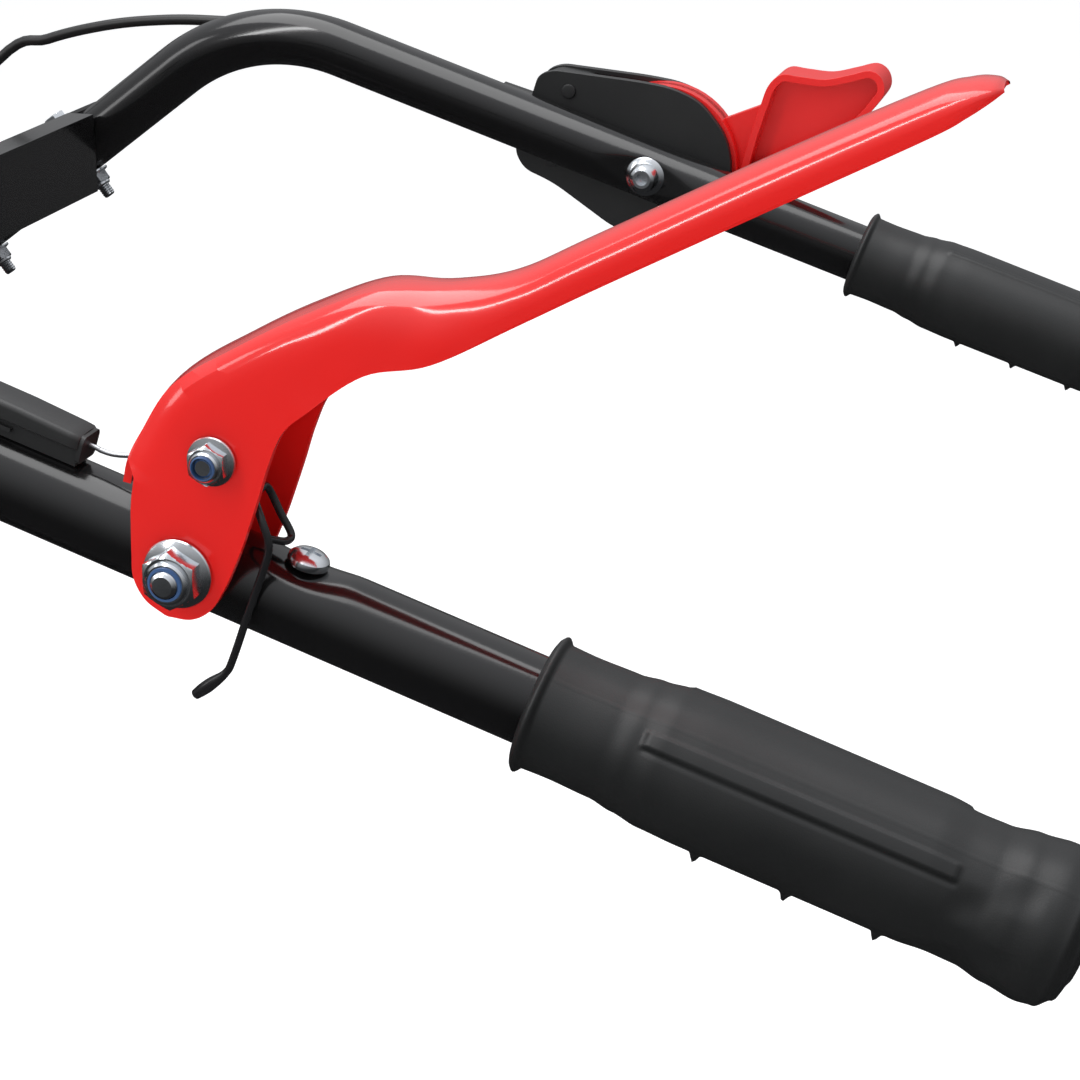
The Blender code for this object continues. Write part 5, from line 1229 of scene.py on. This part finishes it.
heat = rounded_block((-0.190, ENGINE_FRONT + 0.015, 0.405), (-0.100, ENGINE_BACK - 0.015, 0.560), 0.016)
stub = box((-0.1005, ENGINE_FRONT + 0.055, 0.440), (-0.0850, ENGINE_BACK - 0.055, 0.480))
guard_slots = []
for k in range(7):
    guard_slots.append(slab((-0.1900, (ENGINE_FRONT + ENGINE_BACK) / 2, 0.430 + 0.0175 * k), RIGHT * 0.0012,
                            Vector((0, 0.040, 0)), UP * 0.0036))
piece("muffler_shell", join(heat, stub, turned([(0.0, 0.011), (0.012, 0.011), (0.012, 0.009), (0.0, 0.009)],
                                               (-0.150, ENGINE_FRONT + 0.019, 0.440), FRONT, 36)),
      "bare_steel", "chassis", ["muffler"], bevel=0.0005)
piece("muffler_guard_ribs", join(*guard_slots), "black_powder_coat", "chassis", bevel=0.0009)
screw_row("muffler_screws", [(-0.1898, y, z) for y in (ENGINE_FRONT + 0.030, ENGINE_BACK - 0.030)
                             for z in (0.418, 0.547)], (-1, 0, 0), 0.0055, "chassis")

choke_y = (ENGINE_FRONT + ENGINE_BACK) / 2
carb = rounded_block((0.0866, ENGINE_FRONT + 0.015, 0.380), (0.1040, ENGINE_BACK - 0.015, 0.485), 0.006)
ribs = [slab((0.1041, choke_y, 0.392 + 0.007 * k), RIGHT * 0.0010, Vector((0, 0.046, 0)), UP * 0.0013)
        for k in range(6)]
piece("carburettor_box", join(carb, *ribs), "black_plastic", "chassis", ["carburettor_cover"], bevel=0.0005)
choke_at = Vector((0.1044, choke_y, 0.455))
piece("choke_lever", join(turned([(0.0, 0.009), (0.0075, 0.009), (0.0095, 0.0078), (0.010, 0.0060)],
                                 choke_at, RIGHT, 40, closed=False),
                          prism(rounded(corners((-0.0025, -0.015), (0.0025, 0.015)), 0.0024),
                                lambda a, b, d: Vector((d, choke_y + a, 0.455 + b)), 0.1120, 0.1240)),
      "red_plastic", "choke", ["choke_knob"], bevel=0.0006)

# ---------------------------------------------------------------- belt drive
small = [(-0.012, 0.0410), (-0.0115, 0.0420), (-0.009, 0.0420), (-0.004, 0.0300), (0.004, 0.0300),
         (0.009, 0.0420), (0.0115, 0.0420), (0.012, 0.0410)]
piece("crankshaft_pulley", join(turned(small, (0, PULLEY_Y, ENGINE_Z), REAR, 64, closed=False),
                                rod([(0, PULLEY_Y - 0.014, ENGINE_Z), (0, DECK_FRONT + 0.0092, ENGINE_Z)],
                                    0.0110, 32),
                                hex_prism((0, PULLEY_Y - 0.012, ENGINE_Z), FRONT, 0.017, 0.0, 0.007)),
      "bare_steel", "engine_pulley", ["engine_pulley"], bevel=0.0003)
r = 0.0900
large = [(-0.012, 0.0129), (-0.012, 0.030), (-0.003, 0.032), (-0.003, r - 0.020), (-0.011, r - 0.014),
         (-0.012, r + 0.003), (-0.0115, r + 0.004), (-0.009, r + 0.004), (-0.004, r - 0.008),
         (0.004, r - 0.008),
         (0.009, r + 0.004), (0.0115, r + 0.004), (0.012, r + 0.003), (0.011, r - 0.014), (0.003, r - 0.020),
         (0.003, 0.032), (0.012, 0.030), (0.012, 0.0129)]
piece("blower_pulley", turned(large, (0, PULLEY_Y, BLADE_Z), REAR, 96), "bare_steel", "impeller",
      ["impeller_pulley"])
lean = math.asin((0.0900 - 0.0380) / (ENGINE_Z - BLADE_Z))
lean_deg = math.degrees(lean)
belt_rings = []
for offset, y in ((-0.0072, -0.0032), (0.0010, -0.0046), (0.0010, 0.0046), (-0.0072, 0.0032)):
    line = arc((0, BLADE_Z), 0.0900 + offset, 180 - lean_deg, 360 + lean_deg, 44)
    line += arc((0, ENGINE_Z), 0.0380 + offset, lean_deg, 180 - lean_deg, 24)
    belt_rings.append([Vector((a, PULLEY_Y + y, b)) for a, b in line])
piece("v_belt", skin(belt_rings, closed=True), "belt_rubber", "chassis", ["drive_belt"])

# ---------------------------------------------------------------- snow collecting end


def wrap_outline(offset):
    r = HOUSING_BACK - BLADE_Y + offset
    line = [(HOUSING_FRONT + 0.045, BLADE_Z - r)]
    line += arc((BLADE_Y, BLADE_Z), r, 270, 360, 24)
    corner = 0.070
    top = HOUSING_TOP - 0.010 + offset
    line += arc((HOUSING_BACK - corner, top - corner), corner + offset, 0, 80, 14)
    line += [(HOUSING_FRONT + 0.020, top + 0.004)]
    return line


half = HOUSING_HALF - 0.0029
sheet = prism(wrap_outline(0.0) + list(reversed(wrap_outline(0.0025))), in_x, -half, half)
opening = rod([(0, BLADE_Y - 0.05, BLADE_Z), (0, HOUSING_BACK + 0.05, BLADE_Z)], DRUM_R + 0.0004, 96)
piece("collector_sheet", cut(sheet, opening), "housing_paint", "chassis", ["auger_housing"], bevel=0.0006,
      sharp=24)
for side, word in SIDES:
    line = [(HOUSING_FRONT + 0.035, 0.030), (HOUSING_FRONT + 0.090, 0.0165), (BLADE_Y, 0.0165)]
    line += arc((BLADE_Y, BLADE_Z), BLADE_Z - 0.0165, 290, 350, 12)
    line += [(HOUSING_BACK + 0.010, BLADE_Z + 0.02), (HOUSING_BACK + 0.010, HOUSING_TOP - 0.075)]
    line += arc((HOUSING_BACK - 0.062, HOUSING_TOP - 0.072), 0.072, 10, 85, 12)
    line += [(HOUSING_FRONT + 0.018, HOUSING_TOP), (HOUSING_FRONT + 0.004, HOUSING_TOP - 0.008),
             (HOUSING_FRONT, HOUSING_TOP - 0.030), (HOUSING_FRONT, BLADE_Z + 0.080),
             (HOUSING_FRONT + 0.003, BLADE_Z + 0.030), (HOUSING_FRONT + 0.010, BLADE_Z - 0.030)]
    plate = prism(line, in_x, side * (HOUSING_HALF - 0.0025), side * HOUSING_HALF)
    bead_rings = []
    for scale, out in ((0.90, 0.0), (0.885, 0.0016), (0.865, 0.0016), (0.85, 0.0)):
        ring = []
        for a, b in [(-0.775, 0.300), (-0.775, 0.500), (-0.720, 0.520), (-0.600, 0.520), (-0.545, 0.465),
                     (-0.545, 0.330), (-0.600, 0.295)]:
            ring.append((-0.655 + (a + 0.655) * scale, 0.405 + (b - 0.405) * scale))
        bead_rings.append([Vector((side * (HOUSING_HALF - 0.0004 + out), a, b))
                           for a, b in rounded(ring, 0.03, 8)])
    bearing = turned([(0.0, 0.0330), (0.0022, 0.0325), (0.0050, 0.0240), (0.0075, 0.0230), (0.0078, 0.0140),
                      (0.0, 0.0140)], (side * HOUSING_HALF, BLADE_Y, BLADE_Z), RIGHT * side, 64)
    hole = rod([(side * 0.29, BLADE_Y, BLADE_Z), (side * 0.33, BLADE_Y, BLADE_Z)], 0.0138, 48)
    piece("side_sheet_" + word, join(cut(plate, hole), skin(bead_rings)), "housing_paint", "chassis",
          ["side_plate_" + word], bevel=0.0006, sharp=24)
    piece("auger_bearing_" + word, bearing, "bare_steel", "chassis", bevel=0.0004)
    spots = [(side * (HOUSING_HALF + 0.0018), BLADE_Y + 0.0285 * math.cos(a), BLADE_Z + 0.0285 * math.sin(a))
             for a in (0.5, 2.6, 4.71)]
    spots += [(side * HOUSING_HALF, y, z) for y, z in ((-0.530, 0.100), (-0.530, 0.250), (-0.530, 0.440),
                                                       (-0.640, 0.530), (-0.750, 0.533))]
    screw_row("side_screws_" + word, spots, RIGHT * side, 0.0064, "chassis")

t = 0.0025
front = BLADE_Y + 0.010
drum = rod([(0, front, BLADE_Z), (0, DRUM_BACK, BLADE_Z)], DRUM_R, 128)
neck = rod([(0, CHUTE_Y, BLADE_Z + 0.10), (0, CHUTE_Y, RING_Z - 0.0004)], CHUTE_R, 96)
clear = rod([(0, HOUSING_FRONT, BLADE_Z), (0, DRUM_BACK - t, BLADE_Z)], DRUM_R - t, 128)
throat = rod([(0, CHUTE_Y, BLADE_Z + 0.08), (0, CHUTE_Y, RING_Z + 0.02)], CHUTE_R - t, 96)
trim_line = [(HOUSING_FRONT, -0.05)] + wrap_outline(-0.0012)[1:] + [(HOUSING_FRONT, 0.6)]
bore = rod([(0, DRUM_BACK - 0.05, BLADE_Z), (0, DRUM_BACK + 0.05, BLADE_Z)], 0.0134, 48)
piece("blower_drum", cut(drum, clear.copy(), throat.copy(), bore,
                         prism(trim_line, in_x, -0.31, 0.31)), "housing_paint", "chassis", ["impeller_drum"],
      bevel=0.0006)
drum_tool = rod([(0, HOUSING_FRONT, BLADE_Z), (0, DRUM_BACK - t, BLADE_Z)], DRUM_R - 0.0008, 128)
piece("chute_neck", cut(neck, throat, drum_tool), "housing_paint", "chassis", bevel=0.0006)
clear.free()
weld = [Vector((CHUTE_R * math.cos(a), CHUTE_Y + CHUTE_R * math.sin(a),
                BLADE_Z + math.sqrt(max(DRUM_R ** 2 - (CHUTE_R * math.cos(a)) ** 2, 0)) + 0.0006))
        for a in turns(96)]
piece("neck_weld", rod(weld + [weld[0]], 0.0022, 10), "housing_paint", "chassis")
screw_row("drum_screws", [(0.1080 * math.cos(a), DRUM_BACK, BLADE_Z + 0.1080 * math.sin(a))
                          for a in [math.pi * (k + 0.5) / 3 for k in range(6)]], REAR, 0.0070, "chassis")

box_line = [(-0.045, 0.020), (-0.043, 0.024), (-0.036, 0.036), (-0.024, 0.044), (-0.010, 0.0465),
            (0.008, 0.0465), (0.020, 0.042), (0.034, 0.030), (0.050, 0.0240), (0.055, 0.0225)]
gear_case = cut(join(turned(box_line, (0, BLADE_Y, BLADE_Z), REAR, 72, closed=False)),
                rod([(-0.06, BLADE_Y, BLADE_Z), (0.06, BLADE_Y, BLADE_Z)], 0.0134, 48))
sleeves = turned([(-0.050, 0.0134), (-0.050, 0.0250), (-0.048, 0.026), (0.048, 0.026), (0.050, 0.0250),
                  (0.050, 0.0134)], (0, BLADE_Y, BLADE_Z), RIGHT, 64)
flange_ring = turned([(-0.003, 0.040), (-0.003, 0.0500), (0.003, 0.0500), (0.003, 0.040)],
                     (0, BLADE_Y, BLADE_Z), REAR, 64)
piece("gear_case", join(gear_case, sleeves, flange_ring), "cast_aluminium", "chassis", ["auger_gearbox"],
      bevel=0.0008)
screw_row("gear_case_screws", [(0.0455 * math.cos(a), BLADE_Y - 0.0030, BLADE_Z + 0.0455 * math.sin(a))
                               for a in [math.pi * (k + 0.5) / 3 for k in range(6)]], FRONT, 0.0050,
          "chassis")
piece("blade_shaft", turned([(-0.318, 0.0105), (-0.3165, 0.0125), (0.3165, 0.0125), (0.318, 0.0105)],
                            (0, BLADE_Y, BLADE_Z), RIGHT, 48, closed=False), "bare_steel", "auger",
      ["auger_shaft"])


def spiral(side):
    """One side's pair of notched ribbons on a tube, with the spokes that carry them."""
    x0 = side * 0.0520
    x1 = side * 0.2960
    parts = [turned([(0.0, 0.0129), (0.0, 0.0200), (abs(x1 - x0), 0.0200), (abs(x1 - x0), 0.0129)],
                    (x0, BLADE_Y, BLADE_Z), RIGHT * side, 64)]
    start_x = x0 + side * 0.006
    run = x1 - x0 - side * 0.012
    for start in (0.0, math.pi):
        rings = []
        steps = 168
        for k in range(steps + 1):
            share = k / steps
            angle = start + 0.4 + side * 2 * math.pi * 0.75 * share
            radial = Vector((0, math.cos(angle), math.sin(angle)))
            centre = Vector((start_x + run * share, BLADE_Y, BLADE_Z))
            tip = 0.1400 - (0.0055 if k % 7 in (3, 4) else 0.0)
            rings.append([centre + radial * r + RIGHT * w for r, w in ((0.1040, -0.0018), (tip, -0.0018),
                                                                      (tip, 0.0018), (0.1040, 0.0018))])
        parts.append(skin(rings))
    for share in (0.06, 0.5, 0.94):
        angle = 0.4 + side * 2 * math.pi * 0.75 * share
        radial = Vector((0, math.cos(angle), math.sin(angle)))
        centre = Vector((start_x + run * share, BLADE_Y, BLADE_Z))
        sidewise = radial.cross(RIGHT)
        for way in (1, -1):
            parts.append(slab(centre + radial * (way * 0.0670), radial * 0.0500, sidewise * 0.0125,
                              RIGHT * 0.0025))
    pin = Vector((x0 + side * 0.030, BLADE_Y, BLADE_Z))
    return join(*parts), pin


for side, word in SIDES:
    bm, pin = spiral(side)
    piece("auger_spiral_" + word, bm, "housing_paint", "auger", ["auger_" + word], bevel=0.0005, sharp=40)
    shear = join(rod([pin - REAR * 0.0270, pin + REAR * 0.0270], 0.0032, 24),
                 hex_prism(pin + REAR * 0.0200, REAR, 0.0110, 0.0, 0.0050),
                 hex_prism(pin - REAR * 0.0200, FRONT, 0.0110, 0.0, 0.0050))
    piece("shear_bolt_" + word, shear, "zinc_plate", "auger")

y0 = HOUSING_BACK - 0.010
y1 = DRUM_BACK - 0.010
fan_parts = [turned([(0.0, 0.0260), (0.002, 0.0280), (y1 - y0 - 0.002, 0.0280), (y1 - y0, 0.0260)],
                    (0, y0, BLADE_Z), REAR, 64, closed=False),
             rod([(0, BLADE_Y + 0.030, BLADE_Z), (0, PULLEY_Y + 0.018, BLADE_Z)], 0.0125, 40)]
for k in range(4):
    radial, sidewise = spoke(math.pi / 4 + k * math.pi / 2)
    outline = [(0.022, -0.0018), (0.112, -0.0018), (0.120, -0.0026), (0.127, -0.0062), (0.134, -0.0140),
               (0.1365, -0.0115), (0.130, -0.0036), (0.122, 0.0010), (0.112, 0.0018), (0.022, 0.0018)]
    rings = []
    for y in (y0 + 0.004, y1 - 0.004):
        rings.append([Vector((0, y, BLADE_Z)) + radial * p + sidewise * q for p, q in outline])
    fan_parts.append(skin(rings))
    brace = [(0.026, 0.0010), (0.086, 0.0010), (0.026, 0.0260)]
    fan_parts.append(skin([[Vector((0, y, BLADE_Z)) + radial * p + sidewise * q for p, q in brace]
                           for y in ((y0 + y1) / 2 - 0.0015, (y0 + y1) / 2 + 0.0015)]))
piece("blower_fan", join(*fan_parts), "housing_paint", "impeller", ["impeller"], bevel=0.0007)

low = BLADE_Z - (HOUSING_BACK - BLADE_Y)
bar_line = [(HOUSING_FRONT + 0.034, low - 0.0100), (HOUSING_FRONT + 0.090, low - 0.0034),
            (HOUSING_FRONT + 0.090, low - 0.0070), (HOUSING_FRONT + 0.036, low - 0.0150)]
piece("scraper_blade", prism(bar_line, in_x, -HOUSING_HALF + 0.004, HOUSING_HALF - 0.004), "bare_steel",
      "chassis", ["scraper_bar"], bevel=0.0006)
for side, word in SIDES:
    x_in = side * (HOUSING_HALF + 0.0004)
    x_out = side * (HOUSING_HALF + 0.0045)
    line = rounded([(-0.735, 0.011), (-0.719, 0.0), (-0.591, 0.0), (-0.575, 0.011), (-0.575, 0.076),
                    (-0.735, 0.076)],
                   0.012, 6)
    slots = [prism(rounded(corners((y - 0.0045, 0.028), (y + 0.0045, 0.062)), 0.0044, 6), in_x, side * 0.29,
                   side * 0.33) for y in (-0.700, -0.610)]
    shoe = cut(prism(line, in_x, x_in, x_out), *slots)
    sole = prism([(-0.735, 0.0105), (-0.720, 0.0), (-0.590, 0.0), (-0.575, 0.0105), (-0.578, 0.0130),
                  (-0.592, 0.0040), (-0.718, 0.0040), (-0.732, 0.0130)], in_x, side * (HOUSING_HALF - 0.020),
                 x_out)
    piece("skid_shoe_" + word, join(shoe, sole), "black_powder_coat", "chassis", ["skid_" + word],
          bevel=0.0008)
    piece("skid_bolts_" + word, join(*[join(turned([(0.0, 0.0085), (0.0012, 0.0085)], (x_out, y, 0.046),
                                                   RIGHT * side, 32, closed=False),
                                            hex_prism((x_out, y, 0.046), RIGHT * side, 0.0110, 0.0010,
                                                      0.0058))
                                       for y in (-0.700, -0.610)]), "zinc_plate", "chassis", bevel=0.0002)

# ---------------------------------------------------------------- discharge chute
gear_line = []
for k in range(36):
    for share, radius in ((0.0, 0.0700), (0.30, 0.0745), (0.52, 0.0745), (0.82, 0.0700)):
        a = 2 * math.pi * (k + share) / 36
        gear_line.append((radius * math.cos(a), CHUTE_Y + radius * math.sin(a)))
inner_line = [((CHUTE_R - 0.0020) * math.cos(a),
               CHUTE_Y + (CHUTE_R - 0.0020) * math.sin(a)) for a in turns(144)]
piece("chute_gear", hollow_prism(gear_line, inner_line, in_z, RING_Z, RING_Z + 0.008), "black_plastic",
      "chute", ["chute_ring"])
base_z = RING_Z + 0.0084
top_z = 0.7800
tube = turned([(base_z, CHUTE_R - 0.0022), (base_z, CHUTE_R), (top_z, CHUTE_R), (top_z, CHUTE_R - 0.0022)],
              (0, CHUTE_Y, 0), UP, 128)
mouth_line = [(CHUTE_Y - 0.10, base_z + 0.050), (CHUTE_Y - 0.10, top_z + 0.02),
              (CHUTE_Y - 0.030, top_z + 0.02)]
mouth_line += [(CHUTE_Y - 0.030 - 0.016 * k / 10, top_z + 0.02 - (top_z - base_z - 0.110) * k / 10)
               for k in range(1, 10)]
mouth_line += arc((CHUTE_Y - 0.100, base_z + 0.115), 0.0600, 30, -60, 8)
pivot = DEFLECTOR_PIVOT
piece("chute_tube", cut(tube, prism(mouth_line, in_x, -0.1, 0.1),
                        rod([(-0.1, pivot.y, pivot.z), (0.1, pivot.y, pivot.z)], 0.0034, 24)),
      "housing_paint", "chute", ["chute"], bevel=0.0006)
flange_line = [(base_z - 0.0001, CHUTE_R - 0.0022), (base_z - 0.0001, 0.0690), (base_z + 0.0022, 0.0690),
               (base_z + 0.0030, CHUTE_R)]
piece("chute_flange", turned(flange_line, (0, CHUTE_Y, 0), UP, 96), "housing_paint", "chute", bevel=0.0003)
outer_half = CHUTE_R + 0.0026
inner_half = CHUTE_R + 0.0004
back = CHUTE_R + 0.0060
hood = [(CHUTE_Y + back, pivot.z - 0.022), (CHUTE_Y + back, pivot.z + 0.040),
        (CHUTE_Y + back - 0.004, pivot.z + 0.066),
        (CHUTE_Y + 0.052, pivot.z + 0.098), (CHUTE_Y + 0.026, pivot.z + 0.128),
        (CHUTE_Y - 0.008, pivot.z + 0.150),
        (CHUTE_Y - 0.050, pivot.z + 0.165), (CHUTE_Y - 0.095, pivot.z + 0.1725),
        (CHUTE_Y - 0.140, pivot.z + 0.175)]
hood = [(p.x, p.y) for p in smooth_path([(a, b, 0) for a, b in hood], 4)]
low_line = [(CHUTE_Y - 0.140, pivot.z + 0.100), (CHUTE_Y - 0.055, pivot.z - 0.022)]
hood_in = inset([(a * 1000, b * 1000) for a, b in hood + low_line], 2.2)
hood_in = [(a / 1000, b / 1000) for a, b in hood_in][:len(hood)]
hood_in[0] = (hood_in[0][0], hood_in[0][1] - 0.020)
hood_in[-1] = (hood_in[-1][0] - 0.02, hood_in[-1][1])
low_out = [(CHUTE_Y - 0.170, pivot.z + 0.100), (CHUTE_Y - 0.070, pivot.z - 0.040)]
piece("deflector_hood", cut(prism(hood + low_line, in_x, -outer_half, outer_half),
                            prism(hood_in + low_out, in_x, -inner_half, inner_half),
                            rod([(-0.1, pivot.y, pivot.z), (0.1, pivot.y, pivot.z)], 0.0034, 24)),
      "housing_paint", "deflector", ["deflector"], bevel=0.0008, sharp=24)
for side, word in SIDES:
    at = Vector((side * outer_half, pivot.y, pivot.z))
    out = RIGHT * side
    if side > 0:
        bolt = join(turned([(0.0, 0.0085), (0.0014, 0.0085)], at, out, 32, closed=False),
                    hex_prism(at, out, 0.0120, 0.0010, 0.0060),
                    rod([at - out * 0.0060, at + out * 0.0085], 0.0031, 24))
        piece("deflector_bolt", bolt, "zinc_plate", "chute", bevel=0.0002)
    else:
        lobes = [(0.0125 + 0.0022 * math.cos(6 * a), a) for a in turns(72)]
        rings = []
        for reach, scale in ((0.002, 0.92), (0.004, 1.0), (0.013, 1.0), (0.0155, 0.90), (0.016, 0.6)):
            rings.append([at + out * reach + Vector((0, r * scale * math.cos(a), r * scale * math.sin(a)))
                          for r, a in lobes])
        piece("deflector_knob", join(skin(rings), rod([at - out * 0.0060, at + out * 0.003], 0.0031, 24)),
              "black_plastic", "chute", bevel=0.0003)
piece("chute_clips", join(*[join(slab((0.0735 * math.cos(a), CHUTE_Y + 0.0735 * math.sin(a), RING_Z - 0.0045),
                                      Vector((math.cos(a), math.sin(a), 0)) * 0.0060,
                                      Vector((-math.sin(a), math.cos(a), 0)) * 0.0080, UP * 0.0035))
                            for a in (math.pi / 2 + 0.9, -0.9, math.pi + 0.9)]), "black_plastic", "chassis",
      bevel=0.0010)

# ---------------------------------------------------------------- camera
CAMERA_AT = (0.8648, 0.8323, 1.1863)
CAMERA_TILT = math.radians(69.336)
CAMERA_TURN = math.radians(106.42)
FOCAL_LENGTH = 86.246        # millimetres, on a sensor 36 mm wide
camera_data = bpy.data.cameras.new("camera")
camera_data.lens = FOCAL_LENGTH
camera_data.sensor_width = 36.0
camera_data.clip_start = 0.05
camera_data.clip_end = 60.0
camera = bpy.data.objects.new("camera", camera_data)
camera.location = CAMERA_AT
camera.rotation_euler = (CAMERA_TILT, 0.0, CAMERA_TURN)
bpy.context.scene.collection.objects.link(camera)
bpy.context.scene.camera = camera
bpy.context.scene.view_settings.view_transform = "Standard"
bpy.context.scene.view_settings.look = "None"

# ---------------------------------------------------------------- studio


AIM = (0.15, 0.55, 0.93)


def area_light(name, at, size, power, length):
    """A soft box at a place, turned towards the handlebar."""
    data = bpy.data.lights.new(name, "AREA")
    data.shape = "RECTANGLE"
    data.size = size
    data.size_y = length
    data.energy = power
    light = bpy.data.objects.new(name, data)
    light.location = at
    light.rotation_euler = (Vector(AIM) - Vector(at)).to_track_quat("-Z", "Y").to_euler()
    bpy.context.scene.collection.objects.link(light)


area_light("overhead_box", (-0.10, 0.10, 3.20), 1.9, 44.0, 2.6)
area_light("edge_strip", (1.75, -0.60, 2.75), 0.22, 22.0, 2.4)
area_light("front_strip", (1.40, -2.20, 2.10), 0.6, 9.0, 1.6)

world = bpy.data.worlds.new("studio")
bpy.context.scene.world = world
world.use_nodes = True
tree = world.node_tree
tree.nodes.clear()
output = tree.nodes.new("ShaderNodeOutputWorld")
path_kind = tree.nodes.new("ShaderNodeLightPath")
seen = tree.nodes.new("ShaderNodeBackground")
lit = tree.nodes.new("ShaderNodeBackground")
mirrored = tree.nodes.new("ShaderNodeBackground")
seen.inputs["Color"].default_value = (1, 1, 1, 1)
lit.inputs["Color"].default_value = (0.97, 0.98, 1.0, 1)
lit.inputs["Strength"].default_value = 0.62
# what the gloss mirrors: a dark floor, a grey wall and a bright ceiling
direction = tree.nodes.new("ShaderNodeTexCoord")
split = tree.nodes.new("ShaderNodeSeparateXYZ")
tree.links.new(direction.outputs["Generated"], split.inputs["Vector"])
ceiling = tree.nodes.new("ShaderNodeValToRGB")
ceiling.color_ramp.elements[0].position = 0.30
ceiling.color_ramp.elements[0].color = (0.020, 0.020, 0.021, 1)
ceiling.color_ramp.elements[1].position = 0.95
ceiling.color_ramp.elements[1].color = (0.95, 0.96, 1.0, 1)
for stop_at, grey in ((0.44, 0.14), (0.56, 0.30)):
    ceiling.color_ramp.elements.new(stop_at).color = (grey, grey * 1.01, grey * 1.03, 1)
height = tree.nodes.new("ShaderNodeMapRange")
height.inputs["From Min"].default_value = -1.0
height.inputs["From Max"].default_value = 1.0
tree.links.new(split.outputs["Z"], height.inputs["Value"])
tree.links.new(height.outputs["Result"], ceiling.inputs["Fac"])
tree.links.new(ceiling.outputs["Color"], mirrored.inputs["Color"])
mirrored.inputs["Strength"].default_value = 1.0
glossy_mix = tree.nodes.new("ShaderNodeMixShader")
camera_mix = tree.nodes.new("ShaderNodeMixShader")
tree.links.new(path_kind.outputs["Is Glossy Ray"], glossy_mix.inputs["Fac"])
tree.links.new(lit.outputs["Background"], glossy_mix.inputs[1])
tree.links.new(mirrored.outputs["Background"], glossy_mix.inputs[2])
tree.links.new(path_kind.outputs["Is Camera Ray"], camera_mix.inputs["Fac"])
tree.links.new(glossy_mix.outputs["Shader"], camera_mix.inputs[1])
tree.links.new(seen.outputs["Background"], camera_mix.inputs[2])
tree.links.new(camera_mix.outputs["Shader"], output.inputs["Surface"])

floor_bm = bmesh.new()
bmesh.ops.create_circle(floor_bm, cap_ends=True, segments=96, radius=9.0)
floor = raw("studio_floor", floor_bm)
floor.location = (0, 0, -0.001)
floor_mat = bpy.data.materials.new("studio_floor")
floor_mat.use_nodes = True
floor_shader = floor_mat.node_tree.nodes["Principled BSDF"]
floor_shader.inputs["Base Color"].default_value = (0.88, 0.88, 0.88, 1)
floor_shader.inputs["Roughness"].default_value = 0.8
floor_shader.inputs["Specular IOR Level"].default_value = 0.1
floor_shader.inputs["Emission Color"].default_value = (1, 1, 1, 1)
floor_shader.inputs["Emission Strength"].default_value = 0.45
floor.data.materials.append(floor_mat)
floor.visible_glossy = False
